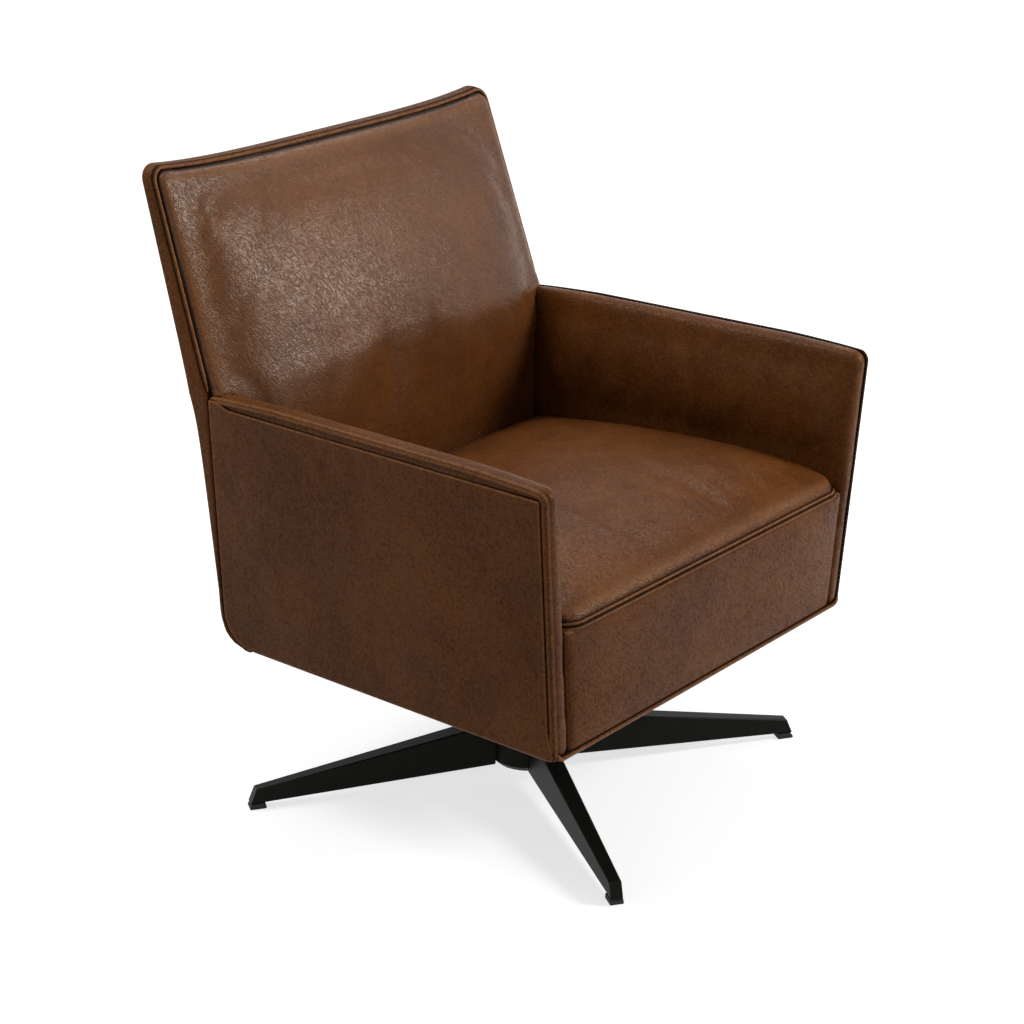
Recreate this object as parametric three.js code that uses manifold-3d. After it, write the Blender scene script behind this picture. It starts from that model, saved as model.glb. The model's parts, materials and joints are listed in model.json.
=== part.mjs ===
// A swivel rocker: a padded leather lounge chair that turns and rocks on a base of four legs.
// Lengths are in millimetres and +Z is up. The sitter faces -Y, and the sitter's left is +X.
// While it is built the turning axis is the Z axis; the last lines centre the whole chair.
import * as THREE from 'three';
import { mergeVertices } from 'three/addons/utils/BufferGeometryUtils.js';
import Module from 'manifold-3d';

const wasm = await Module();
wasm.setup();

// Clearance between pieces that touch, and how far a cut runs past the surface
const gap = 0.3;
const overrun = 6;

// Body
const bodyBottom = 232;
const armTop = 600;
const armFront = 318;
const armFrontLean = 13;
const armRear = 259;
const armRearFlare = 23;
const armFrontHalfWidth = 368;
const armRearHalfWidth = 352;
const armSplay = 38;

// Arms: outer panel, plywood board and inner pad
const panelThickness = 4;
const panelEdgeRound = 1.6;
const panelFrontRound = 12;
const panelBaseRound = 18;
const panelHeelRound = 48;
const boardThickness = 15;
const boardInset = 14;
const boardHeel = 62;
const padEdge = 25;
const padCrown = 22;
const padArch = 7;
const padCrownStart = 190;
const padCrownFull = 300;
const padMiddleHeight = 270;
const padMiddleBack = 20;
const padCornerRound = 14;
const padSwellPower = 2.5;

// Back
const backTop = 883;
const backHalfWidth = 343;
const backCornerRound = 22;
const backEarRise = 9;
const backFoot = 284;
const backBendHeight = 577;
const backBendSoftness = 40;
const backSeamTop = 346;
const shellWall = 6;
const shellBand = 8;
const shellHeelRound = 48;
const shellToe = 14;
const frameBoard = 15;
const postWidth = 45;
const postBottom = 285;
const postStep = 542;
const topRailHeight = 60;
const bottomRailHeight = 62;
const backStrapHeight = 60;
const strapThickness = 2;
const lowerStrapMiddle = 470;
const upperStrapMiddle = 700;
const backEdge = 6;
const backCrown = 41;
const backMiddleHeight = 640;
const backCushionBottom = 330;
const backCushionSideGap = 8;
const backFaceAtArm = 242;
const backFaceAtSeat = 222;
const backSeatLine = 420;
const backShoulder = 40;
const backSwellPower = 3;

// Seat
const seatSeamHeight = 408;
const seatSideRise = 26;
const seatCrown = 28;
const seatBottom = 306;
const seatRear = 220;
const seatMiddle = 45;
const seatSwellPower = 4;
const seatSideGap = 3;
const seatFrontRound = 34;
const seatRearRound = 16;
const coverThickness = 5;
const frontPanelDepth = 26;
const frontPanelBulge = 5;
const frontPanelRound = 22;

// Wooden seat frame, webbing and dust cover
const railThickness = 22;
const railTop = 300;
const rearRailBottom = 253;
const railHeelLength = 30;
const crossRailWidth = 44;
const crossRailHeight = 26;
const seatStrapWidth = 70;
const seatStrapSpacing = 150;
const dustCoverThickness = 1.5;
const dustCoverMargin = 4;

// Base
const hubRadius = 54;
const hubBottom = 22;
const hubTop = 98;
const hubEdgeRound = 8;
const hubShoulderRadius = 40;
const hubShoulderDrop = 14;
const hubRecessRadius = 30;
const hubRecessDepth = 8;
const legReach = 404;
const legTipLean = 9;
const legTipTop = 30;
const legTipWidth = 17;
const legRootWidth = 30;
const legRootTop = 90;
const legRootBottom = 24;
const legChamfer = 1.6;
const legAngles = [-125, -35, 55, 145];
const legNames = ['front_right', 'front_left', 'rear_left', 'rear_right'];
const floorPadHeight = 8;
const floorPadLength = 26;
const floorPadWidth = 18;
const floorPadRound = 2;

// Turning post and its bearing
const spindleRadius = 14;
const spindleHeadRadius = 24;
const spindleHeadHeight = 6;
const spindleThreadRadius = 10;
const spindleThreadLength = 24;
const thrustWasherRadius = 34;
const thrustWasherThickness = 3;
const housingRadius = 26;
const housingTop = 158;
const housingFlangeRadius = 44;
const housingFlangeThickness = 6;
const bushWall = 3.4;
const nutAcross = 30;
const nutHeight = 14;
const nutFlangeRadius = 22;
const nutFlangeThickness = 3;

// Rocker
const axleHeight = 190;
const axleRadius = 8;
const plateThickness = 5;
const bracketHalfWidth = 75;
const bracketHalfLength = 92;
const bracketHoleRadius = 25;
const cheekHeadRadius = 18;
const cheekFootHalf = 48;
const stopLugHeight = 26;
const stopLugHalfWidth = 34;
const stopThickness = 16;
const seatPlateTop = 236;
const seatPlateHalfWidth = 88;
const seatPlateHalfLength = 112;
const bushFlangeRadius = 14;
const bushRadius = 11;
const bushFlangeThickness = 5;
const clipThickness = 2.4;
const clipRadius = 12.5;
const rockForwardDegrees = 5;
const rockBackDegrees = 10;
const stopSqueeze = 0.6;
const springAcross = 45;
const springAlong = 64;
const springRadius = 17;
const springWire = 6;
const springTurns = 6;
const springClosedTurns = 1;
const springClosedPitch = 6.7;
const springSeatRadius = 11;
const springSeatHeight = 5;
const boltRadius = 4;
const boltHeadRadius = 7;
const boltHeadHeight = 4;
const boltLength = 24;
const boltAcross = 62;
const boltAlong = 92;

// Counts of facets, rings and steps
const roundSides = 32;
const smallSides = 16;
const arcSteps = 5;
const crownShares = [1, 0.95, 0.87, 0.74, 0.55, 0.3];
const coarseShares = [1, 0.86, 0.6, 0.3];
const seatShares = [0.5];
const springSteps = 8;
const springSides = 5;

// Values that follow from the sizes above
const armRise = armTop - bodyBottom;
const splayAngle = Math.atan(armSplay / armRise);
const toeAngle = Math.atan((armFrontHalfWidth - armRearHalfWidth) / (armFront + armRear));
const middleHalfWidth = armFrontHalfWidth - armFront * Math.tan(toeAngle);
const bottomHalfWidth = middleHalfWidth - armSplay;
const panelRise = armRise / Math.cos(splayAngle);
const armThickness = panelThickness + padEdge;
// The toe-in carries the top of a leaning arm back by this much, so its frame's rear edge is shorter
const toeShift = armSplay * Math.sin(toeAngle);
const rearAtTop = armRear - toeShift - gap;
const rearAtFoot = armRear + armRearFlare - gap;
const frontPanelRear = armFront - (armFrontLean * (armTop - seatSeamHeight)) / armRise - frontPanelDepth;
const rad = THREE.MathUtils.degToRad;

// Solids
function solid(geometry) {
  const bare = geometry.index ? geometry.toNonIndexed() : geometry.clone();
  for (const name of Object.keys(bare.attributes)) {
    if (name !== 'position') bare.deleteAttribute(name);
  }
  const merged = mergeVertices(bare);
  const place = merged.attributes.position;
  const kept = [];
  const corner = [new THREE.Vector3(), new THREE.Vector3(), new THREE.Vector3()];
  let volume = 0;
  for (let i = 0; i < merged.index.count; i += 3) {
    const ids = [0, 1, 2].map((k) => merged.index.getX(i + k));
    if (new Set(ids).size < 3) continue;
    ids.forEach((id, k) => corner[k].fromBufferAttribute(place, id));
    volume += corner[0].dot(corner[1].clone().cross(corner[2]));
    kept.push(ids);
  }
  const turned = volume < 0 ? kept.map(([a, b, c]) => [a, c, b]) : kept;
  merged.setIndex(turned.flat());
  merged.computeVertexNormals();
  return merged;
}

function toManifold(geometry) {
  const closed = solid(geometry);
  return new wasm.Manifold(new wasm.Mesh({
    numProp: 3,
    vertProperties: new Float32Array(closed.attributes.position.array),
    triVerts: new Uint32Array(closed.index.array),
  }));
}

function fromManifold(manifold) {
  const mesh = manifold.getMesh();
  const geometry = new THREE.BufferGeometry();
  geometry.setAttribute('position', new THREE.BufferAttribute(mesh.vertProperties.slice(), 3));
  geometry.setIndex(Array.from(mesh.triVerts));
  return geometry;
}

function combine(operation, first, rest) {
  return fromManifold(rest.reduce((sum, next) => sum[operation](toManifold(next)), toManifold(first)));
}

const join = (first, ...rest) => combine('add', first, rest);
const cut = (first, ...rest) => combine('subtract', first, rest);
const common = (first, ...rest) => combine('intersect', first, rest);

function mirrored(geometry) {
  return solid(geometry.clone().scale(-1, 1, 1));
}

// A box given by its lowest and highest corners
function block(low, high) {
  const size = high.map((value, axis) => value - low[axis]);
  const middle = high.map((value, axis) => (value + low[axis]) / 2);
  return new THREE.BoxGeometry(...size).translate(...middle);
}

// A turned piece about the Z axis, from [radius, height] pairs that run once round its section
function turned(section, sides = roundSides) {
  const points = [...section, section[0]].map(([r, z]) => new THREE.Vector2(r, z));
  return new THREE.LatheGeometry(points, sides).rotateX(Math.PI / 2);
}

const ring = (inner, outer, low, high, sides) => turned(
  [[inner, low], [outer, low], [outer, high], [inner, high]],
  sides,
);

const rod = (radius, low, high, sides = smallSides) => turned(
  [[0, low], [radius, low], [radius, high], [0, high]],
  sides,
);

// Turns a piece that was made about Z so that it runs along X
const alongX = (geometry) => geometry.rotateY(Math.PI / 2);

// An outline with rounded corners, from [u, v, radius] corners taken anticlockwise.
// Straight stretches get points at most one step apart where a step is given.
function outlineOf(corners, step = Infinity) {
  const points = [];
  corners.forEach(([u, v, radius], i) => {
    const before = corners[(i + corners.length - 1) % corners.length];
    const after = corners[(i + 1) % corners.length];
    const here = new THREE.Vector2(u, v);
    const back = new THREE.Vector2(before[0], before[1]).sub(here).normalize();
    const on = new THREE.Vector2(after[0], after[1]).sub(here).normalize();
    if (!radius) {
      points.push(here);
      return;
    }
    const half = Math.acos(THREE.MathUtils.clamp(back.dot(on), -1, 1)) / 2;
    const centre = back.clone().add(on).normalize().multiplyScalar(radius / Math.sin(half)).add(here);
    const start = back.clone().multiplyScalar(radius / Math.tan(half)).add(here).sub(centre);
    const end = on.clone().multiplyScalar(radius / Math.tan(half)).add(here).sub(centre);
    const sweep = Math.atan2(start.cross(end), start.dot(end));
    for (let k = 0; k <= arcSteps; k += 1) {
      points.push(start.clone().rotateAround(new THREE.Vector2(), (sweep * k) / arcSteps).add(centre));
    }
  });
  const spaced = [];
  points.forEach((point, i) => {
    const next = points[(i + 1) % points.length];
    const parts = Math.max(1, Math.ceil(point.distanceTo(next) / step));
    for (let k = 0; k < parts; k += 1) spaced.push(point.clone().lerp(next, k / parts));
  });
  return spaced;
}

// Extrusions: an outline in YZ runs along X, one in XZ runs along Y and one in XY along Z
const toYZ = new THREE.Matrix4().makeBasis(
  new THREE.Vector3(0, 1, 0),
  new THREE.Vector3(0, 0, 1),
  new THREE.Vector3(1, 0, 0),
);
const toXZ = new THREE.Matrix4().makeBasis(
  new THREE.Vector3(1, 0, 0),
  new THREE.Vector3(0, 0, 1),
  new THREE.Vector3(0, -1, 0),
);

function prism(outline, depth, edgeRound = 0) {
  return new THREE.ExtrudeGeometry(new THREE.Shape(outline), {
    depth: depth - 2 * edgeRound,
    bevelEnabled: edgeRound > 0,
    bevelThickness: edgeRound,
    bevelSize: edgeRound,
    bevelOffset: -edgeRound,
    bevelSegments: 2,
    curveSegments: arcSteps,
  }).translate(0, 0, edgeRound);
}

const prismAlongX = (outline, low, high, edgeRound) => (
  prism(outline, high - low, edgeRound).applyMatrix4(toYZ).translate(low, 0, 0)
);
const prismAlongY = (outline, low, high) => (
  prism(outline, high - low).applyMatrix4(toXZ).translate(0, high, 0)
);
const prismAlongZ = (outline, low, high) => prism(outline, high - low).translate(0, 0, low);

// A closed skin over a stack of rings with the same number of points, capped at both ends
function stack(rings, first, last) {
  const count = rings[0].length;
  const points = [first, ...rings.flat(), last];
  const faces = [];
  const at = (level, i) => 1 + level * count + (i % count);
  for (let i = 0; i < count; i += 1) {
    faces.push(0, at(0, i), at(0, i + 1));
    faces.push(points.length - 1, at(rings.length - 1, i + 1), at(rings.length - 1, i));
    for (let level = 0; level < rings.length - 1; level += 1) {
      faces.push(at(level, i), at(level + 1, i), at(level + 1, i + 1));
      faces.push(at(level, i), at(level + 1, i + 1), at(level, i + 1));
    }
  }
  const geometry = new THREE.BufferGeometry().setFromPoints(points);
  geometry.setIndex(faces);
  return geometry;
}

// A padded form: rings of one outline, drawn in towards its middle, first over the crowned face
// and then over the face that it sits on. Each face is a function of a point and its share.
function padded(outline, middle, shares, face, seat) {
  const ringAt = (share, place) => outline.map(
    (point) => place(point.clone().sub(middle).multiplyScalar(share).add(middle), share),
  );
  const rings = [
    ...[...shares].reverse().map((share) => ringAt(share, face)),
    ringAt(1, seat),
    ...seatShares.map((share) => ringAt(share, seat)),
  ];
  return stack(rings, face(middle.clone(), 0), seat(middle.clone(), 0));
}

// How far a padded face has swelled at a place from 0 in its middle to 1 or -1 at its edges
const swell = (place, power) => 1 - Math.min(1, Math.abs(place)) ** power;

// Outer face of the arm, and the inner face of the pad at its edge, at a place on the chair
const armOuter = (y, z) => middleHalfWidth - y * Math.tan(toeAngle) + (z - armTop) * Math.tan(splayAngle);
const armInner = (y, z) => armOuter(y, z) - armThickness / (Math.cos(splayAngle) * Math.cos(toeAngle));

// Rear edge of the arms, front edge of the back's side band and rear face of the back
const armRearAt = (z) => armRear + ((armTop - z) * armRearFlare) / armRise;
const bandSlope = (backSeamTop - armRear) / (backTop - backCornerRound - armTop);
const bandFront = (z) => (z > armTop ? armRear + (z - armTop) * bandSlope : armRearAt(z));
const backLean = 0.295;
function backRear(z) {
  const above = z - backBendHeight;
  return backFoot + (backLean * (above + Math.hypot(above, backBendSoftness))) / 2;
}

// Looks
const looks = {
  leather: [0x4a2e1c, 0.5, 0],
  foam: [0xd8cfa8, 0.95, 0],
  wood: [0xb08a5a, 0.8, 0],
  ply: [0xc29a66, 0.8, 0],
  webbing: [0x3a3a38, 0.9, 0],
  lining: [0x151515, 0.95, 0],
  black: [0x16161a, 0.45, 0.6],
  steel: [0x9a9ca0, 0.35, 1],
  spring: [0x55585c, 0.4, 1],
  nylon: [0xdedcd2, 0.5, 0],
  rubber: [0x1c1c1c, 0.85, 0],
};

function add(parent, name, look, geometry) {
  const [color, roughness, metalness] = looks[look];
  const material = new THREE.MeshStandardMaterial({ color, roughness, metalness });
  const mesh = new THREE.Mesh(solid(geometry), material);
  mesh.name = name;
  parent.add(mesh);
}

// Base

function hub() {
  const section = [
    [spindleRadius + gap, hubBottom + hubRecessDepth],
    [hubRecessRadius, hubBottom + hubRecessDepth],
    [hubRecessRadius, hubBottom],
    [hubRadius - hubEdgeRound, hubBottom],
    [hubRadius, hubBottom + hubEdgeRound],
    [hubRadius, hubTop - hubShoulderDrop],
    [hubShoulderRadius, hubTop],
    [spindleRadius + gap, hubTop],
  ];
  return turned(section);
}

// A leg is a tapering bar that is deep at the hub. Its end leans out towards the floor.
function leg() {
  const station = (share) => {
    const mix = (root, tip) => THREE.MathUtils.lerp(root, tip, share);
    const top = mix(legRootTop, legTipTop);
    const bottom = mix(legRootBottom, floorPadHeight);
    const half = mix(legRootWidth, legTipWidth) / 2;
    const inner = half - legChamfer;
    const section = [
      [inner, bottom], [half, bottom + legChamfer], [half, top - legChamfer], [inner, top],
      [-inner, top], [-half, top - legChamfer], [-half, bottom + legChamfer], [-inner, bottom],
    ];
    return section.map(([side, z]) => {
      const reach = legReach - (legTipLean * (z - floorPadHeight)) / (legTipTop - floorPadHeight);
      return new THREE.Vector3(mix(hubShoulderRadius, reach), side, z);
    });
  };
  const stations = [station(0), station(1)];
  const middleOf = (points) => points.reduce((sum, p) => sum.add(p), new THREE.Vector3())
    .divideScalar(points.length);
  const bar = stack(stations, middleOf(stations[0]), middleOf(stations[1]));
  return cut(bar, rod(hubRadius + gap, hubBottom - overrun, hubTop + overrun, roundSides));
}

function floorPad() {
  const outer = legReach + legTipLean / 3;
  const profile = outlineOf([
    [outer - floorPadLength, 0, floorPadRound],
    [outer, 0, floorPadRound],
    [legReach - floorPadRound, floorPadHeight - gap, 0],
    [outer - floorPadLength + floorPadRound, floorPadHeight - gap, 0],
  ]);
  return prismAlongY(profile, -floorPadWidth / 2, floorPadWidth / 2);
}

const spindleFoot = hubBottom + hubRecessDepth - gap;
const spindleShoulder = housingTop;

function spindle() {
  return turned([
    [0, spindleFoot - spindleHeadHeight],
    [spindleHeadRadius, spindleFoot - spindleHeadHeight],
    [spindleHeadRadius, spindleFoot],
    [spindleRadius, spindleFoot],
    [spindleRadius, spindleShoulder],
    [spindleThreadRadius, spindleShoulder],
    [spindleThreadRadius, spindleShoulder + spindleThreadLength],
    [0, spindleShoulder + spindleThreadLength],
  ]);
}

function spindleNut() {
  const flangeBottom = spindleShoulder + gap;
  const flangeTop = flangeBottom + nutFlangeThickness;
  const body = rod(nutAcross / 2, flangeTop - gap, flangeTop + nutHeight, 6);
  const flange = rod(nutFlangeRadius, flangeBottom, flangeTop, roundSides);
  const boreTop = flangeTop + nutHeight + overrun;
  const bore = rod(spindleThreadRadius + gap, flangeBottom - overrun, boreTop, roundSides);
  return cut(join(body, flange), bore);
}

const washerBottom = hubTop + gap;
const housingBottom = washerBottom + thrustWasherThickness + gap;
const bushOuter = spindleRadius + gap + bushWall;
const housingBore = bushOuter + gap;

function housing() {
  return turned([
    [housingBore, housingBottom],
    [housingRadius, housingBottom],
    [housingRadius, housingTop - housingFlangeThickness],
    [housingFlangeRadius, housingTop - housingFlangeThickness],
    [housingFlangeRadius, housingTop],
    [housingBore, housingTop],
  ]);
}

function addBase(parent) {
  const base = new THREE.Group();
  parent.add(base);
  add(base, 'base_hub', 'black', hub());
  legNames.forEach((name, i) => {
    const turn = new THREE.Group();
    turn.rotation.z = rad(legAngles[i]);
    base.add(turn);
    add(turn, `leg_${name}`, 'black', leg());
    add(turn, `floor_pad_${name}`, 'rubber', floorPad());
  });
  add(base, 'spindle', 'steel', spindle());
  add(base, 'spindle_nut', 'steel', spindleNut());
  add(base, 'thrust_washer', 'nylon', ring(
    spindleRadius + gap,
    thrustWasherRadius,
    washerBottom,
    washerBottom + thrustWasherThickness,
  ));
}

// Rocker bracket on the turning post

const bracketBottom = housingTop + gap;
const bracketFloor = bracketBottom + plateThickness;
const seatPlateBottom = seatPlateTop - plateThickness;
const cheekGap = bushFlangeThickness + 2 * gap;
const seatCheekInner = bracketHalfWidth + cheekGap;
const seatCheekOuter = seatCheekInner + plateThickness;
const springPlaces = [
  [-1, -1, 'front_right'],
  [1, -1, 'front_left'],
  [1, 1, 'rear_left'],
  [-1, 1, 'rear_right'],
];

// Two upright cheeks that carry the axle, with round heads and a wide foot on the plate
function cheeks(inner, outer, footHalf, foot, bore) {
  const low = Math.min(foot, axleHeight);
  const high = Math.max(foot, axleHeight);
  const head = rod(cheekHeadRadius, inner, outer, roundSides);
  const web = prismAlongX(
    foot < axleHeight
      ? [[-footHalf, low], [footHalf, low], [cheekHeadRadius, high], [-cheekHeadRadius, high]]
        .map(([y, z]) => new THREE.Vector2(y, z))
      : [[-cheekHeadRadius, low], [cheekHeadRadius, low], [footHalf, high], [-footHalf, high]]
        .map(([y, z]) => new THREE.Vector2(y, z)),
    inner,
    outer,
  );
  const hole = rod(bore, inner - overrun, outer + overrun, roundSides);
  const atAxle = (geometry) => alongX(geometry).translate(0, 0, axleHeight);
  const one = cut(join(atAxle(head), web), atAxle(hole));
  return [one, mirrored(one)];
}

function springSeat(x, y, low, high) {
  return rod(springSeatRadius, low, high).translate(x, y, 0);
}

function rockerBracket() {
  const plateOutline = outlineOf([
    [-bracketHalfWidth, -bracketHalfLength, springWire],
    [bracketHalfWidth, -bracketHalfLength, springWire],
    [bracketHalfWidth, bracketHalfLength, springWire],
    [-bracketHalfWidth, bracketHalfLength, springWire],
  ]);
  const plate = prismAlongZ(plateOutline, bracketBottom, bracketFloor);
  const lug = block(
    [-stopLugHalfWidth, bracketHalfLength - plateThickness, bracketBottom],
    [stopLugHalfWidth, bracketHalfLength, bracketFloor + stopLugHeight],
  );
  const bosses = springPlaces.map(([sx, sy]) => springSeat(
    sx * springAcross,
    sy * springAlong,
    bracketBottom,
    bracketFloor + springSeatHeight,
  ));
  const hole = rod(bracketHoleRadius, bracketBottom - overrun, bracketFloor + overrun, roundSides);
  const cheekInner = bracketHalfWidth - plateThickness;
  return cut(
    join(
      plate,
      ...cheeks(cheekInner, bracketHalfWidth, cheekFootHalf, bracketBottom, axleRadius + gap),
      lug,
      lug.clone().rotateZ(Math.PI),
      ...bosses,
    ),
    hole,
  );
}

// A rubber stop rests on each lug and meets the seat plate when the chair rocks to its limit
function stopTop(degrees) {
  const reach = bracketHalfLength - plateThickness / 2 + stopThickness / 2;
  const above = seatPlateBottom - axleHeight;
  return axleHeight + above * Math.cos(rad(degrees)) - reach * Math.sin(rad(degrees)) - stopSqueeze;
}

function rockStop(side, degrees) {
  const foot = bracketFloor + stopLugHeight + gap;
  const top = stopTop(degrees);
  const middle = bracketHalfLength - plateThickness / 2;
  const profile = outlineOf([
    [-stopThickness / 2, foot, 0],
    [stopThickness / 2, foot, 0],
    [stopThickness / 2 - springWire / 2, top, stopThickness / 4],
    [-stopThickness / 2 + springWire / 2, top, stopThickness / 4],
  ]);
  return prismAlongX(profile, -stopLugHalfWidth, stopLugHalfWidth).translate(0, side * middle, 0);
}

// The rocking springs are round wire, closed at both ends, with open turns between
const springFoot = bracketFloor + gap + springWire / 2;
const springHead = seatPlateBottom - gap - springWire / 2;

function springHeight(turn) {
  const closedRise = springClosedTurns * springClosedPitch;
  const openTurns = springTurns - 2 * springClosedTurns;
  const openRise = springHead - springFoot - 2 * closedRise;
  if (turn < springClosedTurns) return springFoot + turn * springClosedPitch;
  if (turn > springTurns - springClosedTurns) return springHead - (springTurns - turn) * springClosedPitch;
  return springFoot + closedRise + ((turn - springClosedTurns) / openTurns) * openRise;
}

function springPath() {
  const points = [];
  for (let i = 0; i <= springTurns * springSteps; i += 1) {
    const turn = i / springSteps;
    const angle = turn * 2 * Math.PI;
    const around = new THREE.Vector2(springRadius, 0).rotateAround(new THREE.Vector2(), angle);
    points.push(new THREE.Vector3(around.x, around.y, springHeight(turn)));
  }
  return points;
}

function rockSpring() {
  const path = springPath();
  const rings = path.map((point, i) => {
    const angle = (i / springSteps) * 2 * Math.PI;
    const out = new THREE.Vector3(Math.cos(angle), Math.sin(angle), 0);
    return Array.from({ length: springSides }, (_, side) => {
      const around = (side / springSides) * 2 * Math.PI;
      return point.clone()
        .addScaledVector(out, (springWire / 2) * Math.cos(around))
        .add(new THREE.Vector3(0, 0, (springWire / 2) * Math.sin(around)));
    });
  });
  return stack(rings, path[0], path[path.length - 1]);
}

// Least clear distance between turns of a spring, measured from points one turn apart on its path
function springSelfGap() {
  const path = springPath();
  let least = Infinity;
  path.forEach((point, i) => {
    for (let k = i + springSteps / 2; k < path.length; k += 1) {
      least = Math.min(least, point.distanceTo(path[k]) - springWire);
    }
  });
  return least;
}

function axleClip() {
  const inner = axleRadius + gap;
  const clip = ring(inner, clipRadius, 0, clipThickness, smallSides);
  const mouth = block(
    [0, -axleRadius / 2, -overrun],
    [clipRadius + overrun, axleRadius / 2, clipThickness + overrun],
  );
  return alongX(cut(clip, mouth));
}

const clipStart = seatCheekOuter + gap;
const axleEnd = clipStart + clipThickness + gap + clipThickness;

function addTurningBracket(parent) {
  const bracket = new THREE.Group();
  parent.add(bracket);
  add(bracket, 'swivel_housing', 'black', housing());
  add(bracket, 'swivel_bush', 'nylon', ring(spindleRadius + gap, bushOuter, housingBottom, housingTop));
  add(bracket, 'rocker_bracket', 'black', rockerBracket());
  const axle = alongX(rod(axleRadius, -axleEnd, axleEnd, roundSides));
  add(bracket, 'rock_axle', 'steel', axle.translate(0, 0, axleHeight));
  const clip = axleClip().translate(clipStart, 0, axleHeight);
  add(bracket, 'axle_clip_left', 'steel', clip);
  add(bracket, 'axle_clip_right', 'steel', mirrored(clip));
  springPlaces.forEach(([sx, sy, name]) => {
    const spring = rockSpring().translate(sx * springAcross, sy * springAlong, 0);
    add(bracket, `rock_spring_${name}`, 'spring', spring);
  });
  add(bracket, 'rock_stop_front', 'rubber', rockStop(-1, rockForwardDegrees));
  add(bracket, 'rock_stop_rear', 'rubber', rockStop(1, rockBackDegrees));
}

// Seat plate with its hanging cheeks, bushes and bolts

const boltPlaces = springPlaces.map(([sx, sy, name]) => [sx * boltAcross, sy * boltAlong, name]);

function seatPlate() {
  const plateOutline = outlineOf([
    [-seatPlateHalfWidth, -seatPlateHalfLength, cheekHeadRadius],
    [seatPlateHalfWidth, -seatPlateHalfLength, cheekHeadRadius],
    [seatPlateHalfWidth, seatPlateHalfLength, cheekHeadRadius],
    [-seatPlateHalfWidth, seatPlateHalfLength, cheekHeadRadius],
  ]);
  const plate = prismAlongZ(plateOutline, seatPlateBottom, seatPlateTop);
  const hole = rod(boltRadius + gap, seatPlateBottom - overrun, seatPlateTop + overrun);
  const holes = boltPlaces.map(([x, y]) => hole.clone().translate(x, y, 0));
  return cut(
    join(plate, ...cheeks(seatCheekInner, seatCheekOuter, cheekFootHalf, seatPlateTop, bushRadius + gap)),
    ...holes,
  );
}

function rockBush() {
  const start = bracketHalfWidth + gap;
  return alongX(turned([
    [axleRadius + gap, start],
    [bushFlangeRadius, start],
    [bushFlangeRadius, start + bushFlangeThickness],
    [bushRadius, start + bushFlangeThickness],
    [bushRadius, seatCheekOuter],
    [axleRadius + gap, seatCheekOuter],
  ])).translate(0, 0, axleHeight);
}

function plateBolt() {
  const headTop = seatPlateBottom - gap;
  return join(
    rod(boltHeadRadius, headTop - boltHeadHeight, headTop),
    rod(boltRadius, headTop - gap, headTop - gap + boltLength),
  );
}

// Wooden frame: four rails and two cross rails whose ends follow the lean of the arms

const railBottom = seatPlateTop + gap;
const crossRailTop = railBottom + crossRailHeight;
const boardInner = panelThickness + gap + boardThickness + gap;
const railFront = frontPanelRear - gap;
const rearPostFront = backFoot - shellWall - frameBoard - 2 * gap;
const railOuterAt = (y, z) => armOuter(y, z) - boardInner / (Math.cos(splayAngle) * Math.cos(toeAngle));

function sideRail() {
  const front = -railFront;
  const rear = rearPostFront - gap;
  const plan = (z, end) => [
    new THREE.Vector3(railOuterAt(front, z), front, z),
    new THREE.Vector3(railOuterAt(end, z), end, z),
    new THREE.Vector3(railOuterAt(end, z) - railThickness, end, z),
    new THREE.Vector3(railOuterAt(front, z) - railThickness, front, z),
  ];
  const middle = (z) => new THREE.Vector3(railOuterAt(0, z) - railThickness / 2, 0, z);
  const plans = [plan(railBottom, rear - railHeelLength), plan(rearRailBottom, rear), plan(railTop, rear)];
  return stack(plans, middle(railBottom), middle(railTop));
}

function betweenRails(yLow, yHigh, zLow, zHigh) {
  const inner = (z) => railOuterAt(yHigh, z) - railThickness - gap;
  const outline = [[-inner(zLow), zLow], [inner(zLow), zLow], [inner(zHigh), zHigh], [-inner(zHigh), zHigh]];
  return prismAlongY(outline.map(([x, z]) => new THREE.Vector2(x, z)), yLow, yHigh);
}

function crossRail(side) {
  const middle = side * boltAlong;
  const bolts = boltPlaces.filter(([, y]) => y === middle).map(([x, y]) => rod(
    boltRadius + gap,
    seatPlateTop - overrun,
    crossRailTop + overrun,
  ).translate(x, y, 0));
  return cut(
    betweenRails(middle - crossRailWidth / 2, middle + crossRailWidth / 2, railBottom, crossRailTop),
    ...bolts,
  );
}

function addSeatFrame(seat) {
  add(seat, 'seat_plate', 'black', seatPlate());
  add(seat, 'rock_bush_left', 'nylon', rockBush());
  add(seat, 'rock_bush_right', 'nylon', mirrored(rockBush()));
  boltPlaces.forEach(([x, y, name]) => {
    add(seat, `plate_bolt_${name}`, 'steel', plateBolt().translate(x, y, 0));
  });
  add(seat, 'cross_rail_front', 'wood', crossRail(-1));
  add(seat, 'cross_rail_rear', 'wood', crossRail(1));
  add(seat, 'seat_rail_left', 'wood', sideRail());
  add(seat, 'seat_rail_right', 'wood', mirrored(sideRail()));
  const frontRail = betweenRails(-railFront, -railFront + railThickness, railBottom, railTop);
  add(seat, 'seat_rail_front', 'wood', frontRail);
  const rear = rearPostFront - gap;
  add(seat, 'seat_rail_rear', 'wood', betweenRails(rear - railThickness, rear, rearRailBottom, railTop));
  const strapNames = ['right', 'middle', 'left'];
  strapNames.forEach((name, i) => {
    const x = (i - 1) * seatStrapSpacing;
    add(seat, `seat_webbing_${name}`, 'webbing', block(
      [x - seatStrapWidth / 2, -railFront, railTop + gap],
      [x + seatStrapWidth / 2, rear, railTop + gap + strapThickness],
    ));
  });
}

// Seat cushion: a crowned foam block under a leather cover, and the panel below its front seam

const seatFrontAt = (z) => -armFront + (armFrontLean * (armTop - z)) / armRise;
const seatFront = seatFrontAt(seatSeamHeight);

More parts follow.
